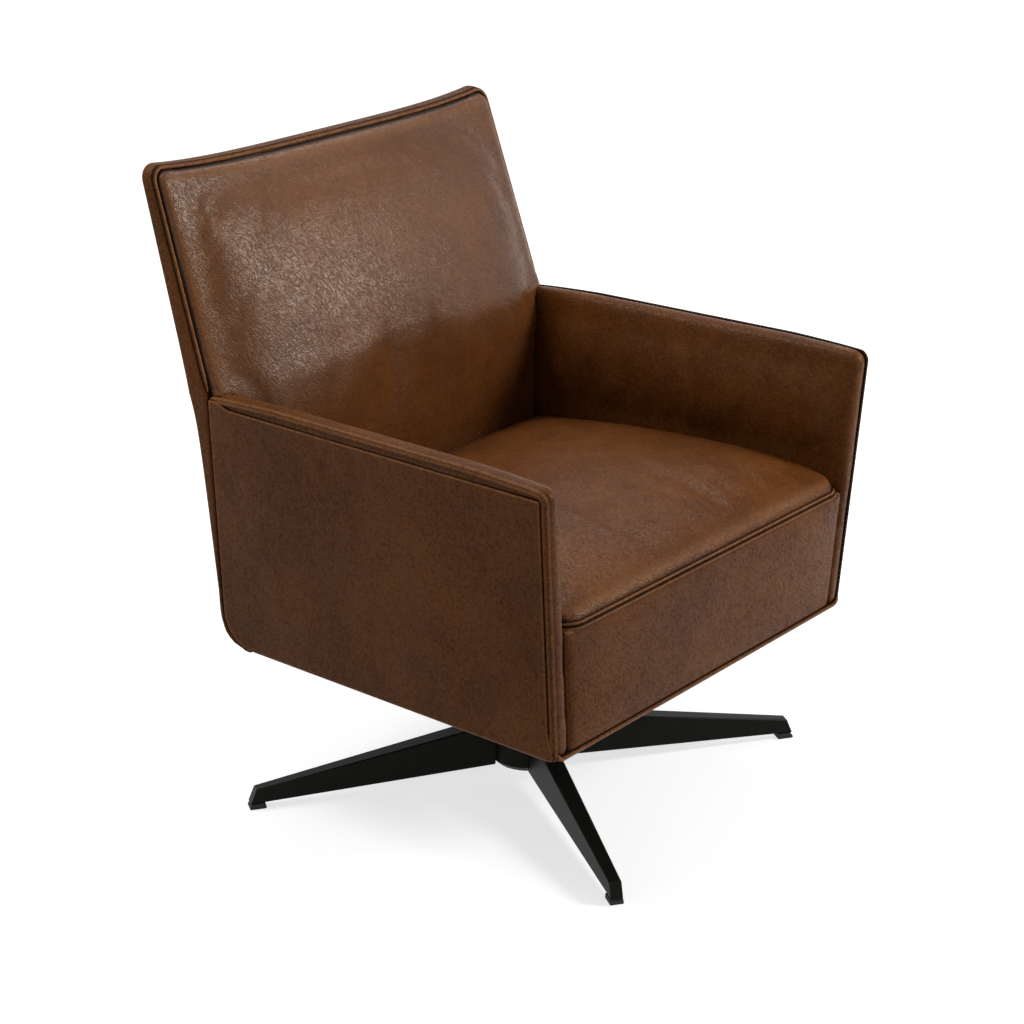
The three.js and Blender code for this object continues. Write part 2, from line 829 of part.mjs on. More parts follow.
function seatOutline(inset) {
  const half = (y) => armInner(y, seatSeamHeight) - seatSideGap - inset;
  const front = seatFront + inset;
  const rear = seatRear - inset;
  const step = inset ? seatRear / 2 : seatRear / 4;
  const corners = [
    [-half(front), front, seatFrontRound],
    [half(front), front, seatFrontRound],
    [half(rear), rear, seatRearRound],
    [-half(rear), rear, seatRearRound],
  ];
  return outlineOf(corners, step);
}

// The side edges rise between the arms and fall again towards the front seam and the back
function seatTopAt(x, y) {
  const along = THREE.MathUtils.clamp((y - seatFront) / (seatRear - seatFront), 0, 1);
  const across = Math.abs(x) / (armInner(y, seatSeamHeight) - seatSideGap);
  const rise = seatSideRise * Math.sin(Math.PI * along ** 0.6);
  const crown = seatCrown * swell(across, seatSwellPower) * swell(2 * along - 1, seatSwellPower);
  return seatSeamHeight + rise + crown;
}

function seatForm(inset, shares, bottom) {
  const middle = new THREE.Vector2(0, -seatMiddle);
  const narrow = (x, y, z) => (x * armInner(y, z)) / armInner(y, seatSeamHeight);
  const face = ({ x, y }) => new THREE.Vector3(x, y, seatTopAt(x, y) - inset);
  const seat = ({ x, y }) => new THREE.Vector3(narrow(x, y, seatBottom), y, bottom);
  return padded(seatOutline(inset), middle, shares, face, seat);
}

const halfInnerAt = (y, z) => armInner(y, z) - seatSideGap;

function frontPanelZone(top) {
  const rear = seatFront + frontPanelDepth + gap;
  const wide = armFrontHalfWidth;
  return block([-wide, seatFront - overrun, bodyBottom - overrun], [wide, rear, top]);
}

function seatCover() {
  const outer = cut(seatForm(0, crownShares, seatBottom), frontPanelZone(seatSeamHeight));
  const hollow = cut(
    seatForm(coverThickness, coarseShares, seatBottom - overrun),
    frontPanelZone(seatSeamHeight + coverThickness).translate(0, coverThickness, 0),
  );
  return cut(outer, hollow);
}

function seatFoam() {
  const inset = coverThickness + 2 * gap;
  return cut(
    seatForm(inset, coarseShares, seatBottom),
    frontPanelZone(seatSeamHeight + coverThickness + gap).translate(0, coverThickness + 2 * gap, 0),
  );
}

// The front panel is a padded board that follows the lean of the arms and bulges slightly
function frontPanel() {
  const levels = [0, 0.12, 0.3, 0.5, 0.7, 0.88, 1];
  const top = seatSeamHeight - gap;
  const plan = (share) => {
    const z = THREE.MathUtils.lerp(bodyBottom, top, share);
    const front = seatFrontAt(z);
    const rear = seatFront + frontPanelDepth;
    const half = halfInnerAt(front, z);
    const outline = outlineOf([
      [-half, front, frontPanelRound],
      [half, front, frontPanelRound],
      [half, rear, 0],
      [-half, rear, 0],
    ], half / 2);
    const bulge = frontPanelBulge * (1 - (2 * share - 1) ** 4);
    return outline.map(({ x, y }) => {
      const forward = THREE.MathUtils.clamp((rear - y) / (rear - front), 0, 1) * (1 - (x / half) ** 4);
      return new THREE.Vector3(x, y - bulge * forward, z);
    });
  };
  const middle = (z) => new THREE.Vector3(0, seatFront + frontPanelDepth / 2, z);
  return stack(levels.map(plan), middle(bodyBottom), middle(top));
}

function addSeatPadding(seat) {
  add(seat, 'seat_foam', 'foam', seatFoam());
  add(seat, 'seat_cover', 'leather', seatCover());
  add(seat, 'seat_front_panel', 'leather', frontPanel());
}

// Arms, made for the sitter's left in a frame whose X points out of the arm's outer face,
// Y runs back along it and Z climbs it

const climb = (z) => (z - bodyBottom) / Math.cos(splayAngle);
const frontEdgeAt = (inset) => [
  [-armFront + armFrontLean + inset, inset, panelBaseRound],
  [-armFront + inset, panelRise - inset, panelFrontRound],
];

function panelOutline(inset) {
  const [foot, head] = frontEdgeAt(inset);
  return outlineOf([
    foot,
    [rearAtFoot - inset, inset, panelHeelRound],
    [rearAtTop - inset, panelRise - inset, panelFrontRound / 2],
    head,
  ]);
}

function sidePanel() {
  return prismAlongX(panelOutline(0), -panelThickness, 0, panelEdgeRound);
}

function boardOutline(inset) {
  return outlineOf([
    [-armFront + armFrontLean + inset, inset / 2, 0],
    [rearAtFoot - boardHeel, inset / 2, 0],
    [rearAtFoot - inset, boardHeel, 0],
    [rearAtTop - inset, panelRise - inset, panelFrontRound],
    [-armFront + inset, panelRise - inset, panelFrontRound],
  ]);
}

function armBoard() {
  const outer = -panelThickness - gap;
  return prismAlongX(boardOutline(boardInset), outer - boardThickness, outer);
}

function armPad() {
  const step = panelRise / 6;
  const outline = outlineOf([
    [-armFront + armFrontLean, 0, panelBaseRound],
    [rearAtFoot, 0, panelHeelRound],
    [rearAtTop, panelRise, padCornerRound],
    [-armFront, panelRise, padCornerRound],
  ], step);
  const middle = new THREE.Vector2(-padMiddleBack, padMiddleHeight);
  const inner = -panelThickness - padEdge;
  const arched = (point) => {
    const along = THREE.MathUtils.clamp((point.x + armFront) / (armFront + armRear), 0, 1);
    const upper = Math.max(0, point.y - padCrownFull) / (panelRise - padCrownFull);
    return point.y + padArch * 4 * along * (1 - along) * upper;
  };
  const face = (point) => {
    const soft = THREE.MathUtils.smoothstep(point.y, padCrownStart, padMiddleHeight);
    const along = (point.x - (armRear - armFront) / 2) / ((armRear + armFront) / 2);
    const up = Math.max(0, point.y - padMiddleHeight) / (panelRise - padMiddleHeight);
    const crown = padCrown * soft * swell(along, padSwellPower) * swell(up, padSwellPower);
    return new THREE.Vector3(inner - crown, point.x, arched(point));
  };
  const seat = (point) => new THREE.Vector3(-panelThickness - gap, point.x, arched(point));
  const pocket = prismAlongX(
    boardOutline(boardInset - gap),
    -panelThickness - boardThickness - 2 * gap,
    -panelThickness + overrun,
  );
  const railZone = block(
    [-armThickness - padCrown, -railFront - gap, -overrun],
    [-panelThickness - gap + overrun, armRear + armRearFlare + overrun, climb(railTop) + boardInset],
  );
  return cut(padded(outline, middle, crownShares, face, seat), pocket, railZone);
}

function addArms(seat) {
  for (const [name, side] of [['left', 1], ['right', -1]]) {
    const arm = new THREE.Group();
    arm.position.set(side * bottomHalfWidth, 0, bodyBottom);
    arm.rotation.set(0, side * splayAngle, side * toeAngle, 'ZYX');
    seat.add(arm);
    const handed = (geometry) => (side > 0 ? geometry : mirrored(geometry));
    add(arm, `side_panel_${name}`, 'leather', handed(sidePanel()));
    add(arm, `arm_board_${name}`, 'ply', handed(armBoard()));
    add(arm, `arm_pad_${name}`, 'leather', handed(armPad()));
  }
}

// Back: an upholstered shell with side bands, a wooden frame inside it and the inner cushion

function backHeights(low, high) {
  const near = backBendSoftness / 2;
  const bend = [-2, -1, 0, 1, 2, 4, 7].map((k) => backBendHeight + k * near);
  return [low, ...bend.filter((z) => z > low && z < high), high];
}

// A layer that follows the rear face, between two depths in front of it, over a front outline
function backLayer(outline, nearDepth, farDepth) {
  const zs = outline.map((point) => point.y);
  const heights = backHeights(Math.min(...zs) - overrun, Math.max(...zs) + overrun);
  const line = (depth) => heights.map((z) => new THREE.Vector2(backRear(z) - depth, z));
  const side = [...line(nearDepth), ...line(farDepth).reverse()];
  const reach = armFrontHalfWidth;
  const nearest = Math.min(...side.map((point) => point.x)) - overrun;
  const furthest = Math.max(...side.map((point) => point.x)) + overrun;
  return common(prismAlongX(side, -reach, reach), prismAlongY(outline, nearest, furthest));
}

const bothSides = (right) => [
  ...right,
  ...[...right].reverse().filter((point) => point.x > 0).map((point) => new THREE.Vector2(-point.x, point.y)),
];

// Front outline of the back. Its top edge dips between two raised corners.
function backOutline(inset, bottom = bodyBottom) {
  const earX = backHalfWidth - backCornerRound;
  const right = [];
  right.push(new THREE.Vector2(armOuter(armRear, bottom) - inset, bottom));
  right.push(new THREE.Vector2(armOuter(armRear, armTop) - inset, armTop));
  const cornerTop = backTop + backEarRise - backCornerRound;
  for (let k = 0; k <= arcSteps; k += 1) {
    const angle = (Math.PI / 2) * (k / arcSteps);
    const radius = backCornerRound - inset;
    right.push(new THREE.Vector2(earX + radius * Math.cos(angle), cornerTop + radius * Math.sin(angle)));
  }
  for (const share of [0.8, 0.6, 0.35, 0]) {
    right.push(new THREE.Vector2(earX * share, backTop + backEarRise * share ** 4 - inset));
  }
  const top = right.pop();
  const left = bothSides(right).slice(right.length);
  return [...right, top, ...left];
}

// The rear end of an arm, which the shell's turned-under foot stops short of
function armZone() {
  const top = bodyBottom + shellHeelRound;
  const low = new THREE.Vector2(armInner(armRear, bodyBottom) - gap, bodyBottom - overrun);
  const high = new THREE.Vector2(armInner(armRear, top) - gap, top);
  const wide = armFrontHalfWidth;
  const side = [low, new THREE.Vector2(wide, low.y), new THREE.Vector2(wide, high.y), high];
  const heel = prismAlongX(
    outlineOf([
      [0, -overrun, 0],
      [armRear + armRearFlare, -overrun, 0],
      [armRear + armRearFlare, shellToe, 0],
      [armRearAt(top), shellHeelRound, 0],
      [0, shellHeelRound, 0],
    ]),
    0,
    wide,
  ).translate(0, 0, bodyBottom);
  return common(prismAlongY(side, 0, backFoot + overrun), heel);
}

function backShell() {
  const bottom = bodyBottom;
  const top = backTop + backEarRise + overrun;
  const rearLine = backHeights(bottom + shellHeelRound, top).map((z) => new THREE.Vector2(backRear(z), z));
  const heel = [];
  for (let k = 0; k <= arcSteps; k += 1) {
    const angle = (Math.PI / 2) * (k / arcSteps);
    heel.push(new THREE.Vector2(
      backFoot - shellHeelRound + shellHeelRound * Math.sin(angle),
      bottom + shellHeelRound - shellHeelRound * Math.cos(angle),
    ));
  }
  const innerHeel = heel.map((point) => new THREE.Vector2(
    backFoot - shellHeelRound + (point.x - backFoot + shellHeelRound) * (1 - shellWall / shellHeelRound),
    bottom + shellHeelRound + (point.y - bottom - shellHeelRound) * (1 - shellWall / shellHeelRound),
  ));
  const frontLine = [top, armTop].map((z) => new THREE.Vector2(bandFront(z), z));
  const meet = new THREE.Vector2(armRearAt(bottom + shellHeelRound), bottom + shellHeelRound);
  const profile = [...heel, ...rearLine.slice(1), ...frontLine, meet, ...innerHeel.reverse().slice(1)];
  const whole = common(
    prismAlongX(profile, -armFrontHalfWidth, armFrontHalfWidth),
    prismAlongY(backOutline(0), 0, backFoot + backTop),
  );
  const heights = backHeights(bottom - overrun, backTop + overrun);
  const pocketLine = heights.map((z) => new THREE.Vector2(backRear(z) - shellWall, z));
  const pocketSide = [
    ...pocketLine,
    new THREE.Vector2(0, backTop + overrun),
    new THREE.Vector2(0, bottom - overrun),
  ];
  const pocketOutline = backOutline(shellBand, bottom + shellHeelRound + gap);
  const pocket = common(
    prismAlongX(pocketSide, -armFrontHalfWidth, armFrontHalfWidth),
    prismAlongY(pocketOutline, 0, backFoot + backTop),
  );
  return cut(whole, pocket, armZone(), mirrored(armZone()));
}

const insideBand = (z) => armOuter(armRear, Math.min(z, armTop)) - shellBand - gap;
const upperHalf = backHalfWidth - shellBand - gap;
const postTop = backTop - shellBand - gap;
const postOuterLow = (z) => armInner(armRear + armRearFlare, z) - gap;
const postInner = (z) => THREE.MathUtils.mapLinear(
  z,
  postBottom,
  postTop,
  postOuterLow(postBottom) - postWidth,
  upperHalf - postWidth,
);

function backPost() {
  const outline = [
    [postInner(postBottom), postBottom],
    [postOuterLow(postBottom), postBottom],
    [postOuterLow(postStep), postStep],
    [insideBand(postStep), postStep],
    [insideBand(armTop), armTop],
    [upperHalf, postTop - backCornerRound],
    [upperHalf - backCornerRound, postTop],
    [postInner(postTop), postTop],
  ].map(([x, z]) => new THREE.Vector2(x, z));
  return backLayer(outline, shellWall + gap, shellWall + gap + frameBoard);
}

function backRail(low, high) {
  const half = (z) => postInner(z) - gap;
  const outline = [[-half(low), low], [half(low), low], [half(high), high], [-half(high), high]]
    .map(([x, z]) => new THREE.Vector2(x, z));
  return backLayer(outline, shellWall + gap, shellWall + gap + frameBoard);
}

function backStrap(middle) {
  const wide = postInner(middle) + postWidth / 2;
  const low = middle - backStrapHeight / 2;
  const high = middle + backStrapHeight / 2;
  const outline = [[-wide, low], [wide, low], [wide, high], [-wide, high]]
    .map(([x, z]) => new THREE.Vector2(x, z));
  const near = shellWall + frameBoard + 2 * gap;
  return backLayer(outline, near, near + strapThickness);
}

// Inner back cushion: full width above the arms, and narrower where it drops between them

const padTopAt = armTop + padArch + gap;

function cushionOutline(inset) {
  const upper = backOutline(inset).filter((point) => point.y > armTop);
  const half = (z) => armInner(armRear, z) - backCushionSideGap - inset;
  const floor = backCushionBottom + inset;
  const notch = padTopAt + inset;
  const right = [[half(floor), floor], [half(notch), notch], [armOuter(armRear, armTop) - inset, notch]]
    .map(([x, z]) => new THREE.Vector2(x, z));
  const left = right.map((point) => new THREE.Vector2(-point.x, point.y)).reverse();
  const around = [...right, ...upper, ...left];
  const step = inset ? backCushionBottom / 3 : backCushionBottom / 5;
  return outlineOf(around.map(({ x, y }) => [x, y, 0]), step);
}

// Front face of the cushion at its edge, and the face that it sits on
function cushionEdge(z) {
  const share = THREE.MathUtils.clamp((z - backSeatLine) / (armTop - backSeatLine), 0, 1);
  const lower = THREE.MathUtils.lerp(backFaceAtSeat, backFaceAtArm, share);
  const blend = THREE.MathUtils.smoothstep(z, armTop - backShoulder, armTop + backShoulder);
  return THREE.MathUtils.lerp(lower, bandFront(Math.max(z, armTop)) - backEdge, blend);
}

const cushionSeat = (z) => bandFront(Math.max(z, armTop)) - gap;

function cushionForm(inset, shares, through = 0) {
  const middle = new THREE.Vector2(0, backMiddleHeight);
  const face = ({ x, y: z }) => {
    const low = THREE.MathUtils.smoothstep(z, backSeatLine, backMiddleHeight);
    const up = Math.max(0, z - backMiddleHeight) / (backTop - backMiddleHeight);
    const across = Math.abs(x) / backHalfWidth;
    const crown = backCrown * low * swell(across, backSwellPower) * swell(up, backSwellPower);
    return new THREE.Vector3(x, cushionEdge(z) - crown + inset, z);
  };
  const seat = ({ x, y: z }) => new THREE.Vector3(x, cushionSeat(z) + through, z);
  return padded(cushionOutline(inset), middle, shares, face, seat);
}

const backCover = () => cut(
  cushionForm(0, crownShares),
  cushionForm(coverThickness, coarseShares, overrun),
);
const backFoam = () => cushionForm(coverThickness + 2 * gap, coarseShares);

function dustCover() {
  const z = railBottom - gap - dustCoverThickness;
  const front = -railFront + dustCoverMargin;
  const rear = backFoot - shellHeelRound - gap;
  const half = (y) => railOuterAt(y, railBottom) - dustCoverMargin;
  const outline = [[-half(front), front], [half(front), front], [half(rear), rear], [-half(rear), rear]]
    .map(([x, y]) => new THREE.Vector2(x, y));
  const opening = block(
    [-seatPlateHalfWidth - dustCoverMargin, -seatPlateHalfLength - dustCoverMargin, z - overrun],
    [seatPlateHalfWidth + dustCoverMargin, seatPlateHalfLength + dustCoverMargin, z + overrun],
  );
  return cut(prismAlongZ(outline, z, z + dustCoverThickness), opening);
}

function addBack(seat) {
  add(seat, 'back_post_left', 'wood', backPost());
  add(seat, 'back_post_right', 'wood', mirrored(backPost()));
  add(seat, 'back_rail_bottom', 'wood', backRail(postBottom, postBottom + bottomRailHeight));
  add(seat, 'back_rail_top', 'wood', backRail(postTop - topRailHeight, postTop));
  add(seat, 'back_webbing_lower', 'webbing', backStrap(lowerStrapMiddle));
  add(seat, 'back_webbing_upper', 'webbing', backStrap(upperStrapMiddle));
  add(seat, 'back_foam', 'foam', backFoam());
  add(seat, 'back_cover', 'leather', backCover());
  add(seat, 'outer_back', 'leather', backShell());
}

const chair = new THREE.Group();
const placed = new THREE.Group();
chair.add(placed);
addBase(placed);
addTurningBracket(placed);
addSeatFrame(placed);
addSeatPadding(placed);
addArms(placed);
addBack(placed);
add(placed, 'dust_cover', 'lining', dustCover());

// The origin is on the floor, in the middle of the chair's outline
placed.updateMatrixWorld(true);
const extent = new THREE.Box3().setFromObject(placed, true);
const centre = extent.getCenter(new THREE.Vector3());
placed.position.set(-centre.x, -centre.y, 0);
console.log(`turning axis at x ${(-centre.x).toFixed(3)}, y ${(-centre.y).toFixed(3)}`);
console.log(`least gap between spring turns ${springSelfGap().toFixed(2)}`);

export default chair;
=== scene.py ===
import json
import math

import bpy
import numpy as np
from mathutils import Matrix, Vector


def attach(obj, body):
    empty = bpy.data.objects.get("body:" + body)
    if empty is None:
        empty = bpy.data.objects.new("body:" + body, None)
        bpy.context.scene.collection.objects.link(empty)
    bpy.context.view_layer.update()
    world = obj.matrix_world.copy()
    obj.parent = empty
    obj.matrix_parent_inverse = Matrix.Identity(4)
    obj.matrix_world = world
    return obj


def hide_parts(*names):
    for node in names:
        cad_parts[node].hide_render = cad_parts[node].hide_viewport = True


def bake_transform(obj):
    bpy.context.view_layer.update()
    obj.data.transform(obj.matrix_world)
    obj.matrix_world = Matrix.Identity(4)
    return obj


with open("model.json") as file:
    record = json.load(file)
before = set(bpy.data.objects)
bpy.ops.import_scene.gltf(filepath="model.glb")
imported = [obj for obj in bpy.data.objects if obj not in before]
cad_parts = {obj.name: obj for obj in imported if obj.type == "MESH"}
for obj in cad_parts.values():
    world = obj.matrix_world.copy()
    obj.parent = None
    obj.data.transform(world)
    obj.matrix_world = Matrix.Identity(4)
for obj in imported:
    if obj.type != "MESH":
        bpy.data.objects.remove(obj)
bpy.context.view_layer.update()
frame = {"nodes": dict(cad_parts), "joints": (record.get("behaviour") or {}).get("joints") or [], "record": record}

# The turning axis
AXIS_Y = frame["joints"][0]["pos_m"][1]

# Body and arms
BODY_BOTTOM = 0.230
ARM_TOP = 0.600
ARM_FRONT = 0.318
ARM_FRONT_LEAN = 0.013
ARM_REAR = 0.259
ARM_REAR_FLARE = 0.023
ARM_FRONT_HALF_WIDTH = 0.368
ARM_REAR_HALF_WIDTH = 0.352
ARM_SPLAY = 0.036
GAP = 0.0003
PANEL_THICKNESS = 0.004
PANEL_DOME = 0.0016
PANEL_EDGE_ROUND = 0.0036
PANEL_FRONT_ROUND = 0.012
PANEL_BASE_ROUND = 0.011
HEEL_ROUND = 0.048
PAD_EDGE = 0.025
PAD_CROWN = 0.012
PAD_ARCH = 0.007
PAD_CORNER_ROUND = 0.014
PAD_ROLL = 0.011
PAD_TIGHT_ROLL = 0.004
PAD_FREE_FROM = 0.150
PAD_FREE_FULL = 0.235
PAD_MIDDLE_HEIGHT = 0.270
PAD_MIDDLE_BACK = 0.020
GUSSET_ROUND = 0.0070
PANEL_INSET = 0.0090
PANEL_REAR_INSET = 0.0012

# Seat
SEAT_SEAM = 0.408
SEAT_SIDE_RISE = 0.024
SEAT_CROWN = 0.015
SEAT_ROLL = 0.045
SEAT_ROLL_RISE = 0.013
SEAT_FLOOR = 0.308
SEAT_REAR = 0.220
SEAT_MIDDLE = 0.045
SEAT_SIDE_GAP = 0.003
SEAT_FRONT_ROUND = 0.034
SEAT_REAR_ROUND = 0.016
FRONT_PANEL_DEPTH = 0.026
FRONT_PANEL_BULGE = 0.0045
FRONT_PANEL_ROLL = 0.007
FRONT_PANEL_FOOT_ROUND = 0.006
FRONT_WELT_HEIGHT = 0.0060

# Back
BACK_TOP = 0.883
BACK_HALF_WIDTH = 0.343
BACK_CORNER_ROUND = 0.022
BACK_EAR_RISE = 0.009
BACK_FOOT = 0.284
BACK_BEND_HEIGHT = 0.577
BACK_BEND_SOFTNESS = 0.040
BACK_LEAN = 0.295
BACK_SEAM_TOP = 0.346
BACK_EDGE_ROLL = 0.0065
BACK_REAR_CROWN = 0.003
SHELL_WALL = 0.006
SHELL_BAND = 0.0055
BACK_CUSHION_FLOOR = 0.330
BACK_CUSHION_SIDE_GAP = 0.008
BACK_CUSHION_EDGE = 0.006
BACK_CUSHION_CROWN = 0.042
BACK_CUSHION_ROLL = 0.010
BACK_MIDDLE_HEIGHT = 0.640
BACK_FACE_AT_ARM = 0.242
BACK_FACE_AT_SEAT = 0.222
BACK_SEAT_LINE = 0.420
BACK_SHOULDER = 0.040
BACK_WELT_INSET = 0.0036
BACK_PAD_INSET = 0.0060
BACK_PAD_HIDDEN = 0.012

# Values that follow from the sizes above
ARM_RISE = ARM_TOP - BODY_BOTTOM
SPLAY = math.atan(ARM_SPLAY / ARM_RISE)
TOE = math.atan((ARM_FRONT_HALF_WIDTH - ARM_REAR_HALF_WIDTH) / (ARM_FRONT + ARM_REAR))
MIDDLE_HALF_WIDTH = ARM_FRONT_HALF_WIDTH - ARM_FRONT * math.tan(TOE)
BOTTOM_HALF_WIDTH = MIDDLE_HALF_WIDTH - ARM_SPLAY
PANEL_RISE = ARM_RISE / math.cos(SPLAY)
ARM_THICKNESS = PANEL_THICKNESS + PAD_EDGE
TOE_SHIFT = ARM_SPLAY * math.sin(TOE)
REAR_AT_TOP = ARM_REAR - TOE_SHIFT - GAP
REAR_AT_FOOT = ARM_REAR + ARM_REAR_FLARE - GAP
HEEL_TOP = BODY_BOTTOM + HEEL_ROUND

# How finely skins are made
LINE_STEP = 0.007
ARC_STEP = 0.0018
INSET_STEPS = 12
LEAST_INSET = 0.002
INSET_CLEARANCE = 0.97


# Small sums on arrays

def smoothstep(value, low, high):
    """0 up to low, 1 from high on, and a soft rise between."""
    share = np.clip((np.asarray(value, float) - low) / (high - low), 0, 1)
    return share * share * (3 - 2 * share)


def mix(first, second, share):
    """From first, where share is 0, to second, where it is 1."""
    return first + (second - first) * share


def swell(place, power):
    """How far padding has swelled from 0 at an edge, where place is 1 or -1, to 1 in the middle."""
    return 1 - np.minimum(1, np.abs(place)) ** power


def rolled(distance, radius):
    """How far a rounded edge has dropped at a distance in from the edge."""
    short = np.maximum(radius - distance, 0)
    return radius - np.sqrt(np.maximum(radius * radius - short * short, 0))


# Shape of the body, from the turning axis

def arm_outer(y, z):
    return MIDDLE_HALF_WIDTH - y * math.tan(TOE) + (z - ARM_TOP) * math.tan(SPLAY)


def arm_inner(y, z):
    return arm_outer(y, z) - ARM_THICKNESS / (math.cos(SPLAY) * math.cos(TOE))


def heel(z):
    """How far the rounded heel has drawn forward at a height."""
    below = np.clip(HEEL_TOP - z, 0, HEEL_ROUND)
    return np.sqrt(HEEL_ROUND**2 - below**2) - HEEL_ROUND


def band_front(z):
    """Front edge of the back's side bands, which follow the arms' rear ends."""
    slope = (BACK_SEAM_TOP - ARM_REAR) / (BACK_TOP - BACK_CORNER_ROUND - ARM_TOP)
    above = ARM_REAR + (z - ARM_TOP) * slope
    beside = ARM_REAR + (ARM_TOP - z) * ARM_REAR_FLARE / ARM_RISE + heel(z)
    return np.where(z > ARM_TOP, above, beside)


def back_rear(z):
    above = z - BACK_BEND_HEIGHT
    lean = BACK_LEAN * (above + np.hypot(above, BACK_BEND_SOFTNESS)) / 2
    return BACK_FOOT + lean + heel(z)


def front_at(z):
    return -ARM_FRONT + ARM_FRONT_LEAN * (ARM_TOP - z) / ARM_RISE


def arm_to_chair(points, side):
    """Takes points of an arm's own frame, whose X points out of its panel, to the chair."""
    x, y, z = points.T
    out = x * math.cos(SPLAY) + z * math.sin(SPLAY)
    up = z * math.cos(SPLAY) - x * math.sin(SPLAY)
    across = out * math.cos(TOE) - y * math.sin(TOE) + BOTTOM_HALF_WIDTH
    back = out * math.sin(TOE) + y * math.cos(TOE)
    return np.column_stack([side * across, back, up + BODY_BOTTOM])


# Outlines and skins

def rounded_outline(corners):
    """Points round an outline, from (u, v, radius) corners taken anticlockwise."""
    points = []
    for i, (u, v, radius) in enumerate(corners):
        here = np.array([u, v])
        back = np.array(corners[i - 1][:2]) - here
        on = np.array(corners[(i + 1) % len(corners)][:2]) - here
        back, on = back / np.linalg.norm(back), on / np.linalg.norm(on)
        if not radius:
            points.append(here)
            continue
        half = math.acos(np.clip(back @ on, -1, 1)) / 2
        centre = here + (back + on) / np.linalg.norm(back + on) * radius / math.sin(half)
        start = here + back * radius / math.tan(half) - centre
        end = here + on * radius / math.tan(half) - centre
        sweep = math.atan2(start[0] * end[1] - start[1] * end[0], start @ end)
        steps = max(3, math.ceil(abs(sweep) * radius / ARC_STEP))
        for angle in np.linspace(0, sweep, steps + 1):
            c, s = math.cos(angle), math.sin(angle)
            points.append(centre + [start[0] * c - start[1] * s, start[0] * s + start[1] * c])
    return spaced(np.array(points))


def spaced(points):
    """Adds points to a closed outline where two neighbours are more than one step apart."""
    result = []
    for here, ahead in zip(points, np.roll(points, -1, axis=0)):
        parts = max(1, math.ceil(np.linalg.norm(ahead - here) / LINE_STEP))
        result.extend(mix(here, ahead, k / parts) for k in range(parts))
    return np.array(result)


def inward(outline):
    """Unit normals that point into an anticlockwise outline."""
    along = np.roll(outline, -1, axis=0) - np.roll(outline, 1, axis=0)
    along /= np.linalg.norm(along, axis=1, keepdims=True)
    return np.column_stack([-along[:, 1], along[:, 0]])


def edge_distance(points, outline):
    """Distance of each point from a closed outline."""
    start = outline[None, :, :]
    run = np.roll(outline, -1, axis=0)[None, :, :] - start
    to = points[:, None, :] - start
    share = np.clip((to * run).sum(2) / np.maximum((run * run).sum(2), 1e-12), 0, 1)
    return np.linalg.norm(to - share[..., None] * run, axis=2).min(axis=1)


def inset_room(outline, wanted):
    """How far each point can move inwards, up to a wanted length, before it nears another side."""
    normals = inward(outline)
    room = np.full(len(outline), wanted / INSET_STEPS)
    for step in np.linspace(wanted / INSET_STEPS, wanted, INSET_STEPS):
        clear = edge_distance(outline + normals * step, outline) > INSET_CLEARANCE * step
        room = np.where(clear & (room > step - 1.5 * wanted / INSET_STEPS), step, room)
    return room


def drawn_in(outline, insets, shares, middle):
    """Rings inside an outline: first drawn in by lengths, then by shares towards a middle."""
    normals = inward(outline)
    rings = []
    if insets:
        wanted = max(insets)
        even = np.full(len(outline), wanted)
        room = inset_room(outline, wanted) if wanted > LEAST_INSET else even
        share = room / max(wanted, LEAST_INSET / 2)
        rings = [outline + normals * (inset * share)[:, None] for inset in insets]
    last = rings[-1] if rings else outline
    middle = np.asarray(middle, float)
    return rings + [middle + (last - middle) * share for share in shares]


def mesh_object(name, points, faces):
    """A mesh object with smooth faces that point outwards. Depths are moved to the axis here."""
    points = np.asarray(points, float) + [0, AXIS_Y, 0]
    mesh = bpy.data.meshes.new(name)
    mesh.from_pydata(points.tolist(), [], faces)
    turn_outwards(mesh)
    mesh.polygons.foreach_set("use_smooth", [True] * len(mesh.polygons))
    mesh.update()
    piece = bpy.data.objects.new(name, mesh)
    bpy.context.scene.collection.objects.link(piece)
    return piece


def turn_outwards(mesh):
    """Turns a closed mesh round if its faces point inwards."""
    corners = np.array([[*f.vertices][:3] for f in mesh.polygons])
    quads = [[*f.vertices] for f in mesh.polygons if len(f.vertices) == 4]
    extra = np.array([[q[0], q[2], q[3]] for q in quads], int).reshape(-1, 3)
    triangles = np.concatenate([corners, extra])
    places = np.array([v.co for v in mesh.vertices])
    a, b, c = (places[triangles[:, k]] for k in range(3))
    if (a * np.cross(b, c)).sum() < 0:
        mesh.flip_normals()


def ring_faces(count, rings):
    """Quads between rings of the same number of points."""
    faces = []
    for low in range(0, (rings - 1) * count, count):
        high = low + count
        for i in range(count):
            on = (i + 1) % count
            faces.append((low + i, low + on, high + on, high + i))
    return faces


def skin(name, rings, wear_and_shading=None):
    """A closed skin over rings, with a pole at each end. Its values go from -1, painted shade in a groove, to 1, a
    rubbed edge with a painted highlight.
    """
    count = len(rings[0])
    points = np.concatenate([*rings, [rings[0].mean(axis=0)], [rings[-1].mean(axis=0)]])
    faces = ring_faces(count, len(rings))
    low_pole, high_pole = len(points) - 2, len(points) - 1
    top = (len(rings) - 1) * count
    for i in range(count):
        on = (i + 1) % count
        faces.append((low_pole, on, i))
        faces.append((high_pole, top + i, top + on))
    piece = mesh_object(name, points, faces)
    if wear_and_shading is not None:
        set_wear_and_shading(piece, np.concatenate([np.repeat(wear_and_shading, count), [wear_and_shading[0], wear_and_shading[-1]]]))
    return piece


def set_wear_and_shading(piece, values):
    """Stores each point's value from painted groove shade to a rubbed edge with a painted highlight, which the
    leather reads.
    """
    attribute = piece.data.attributes.new("wear_and_shading", "FLOAT", "POINT")
    attribute.data.foreach_set("value", np.asarray(values, np.float32))


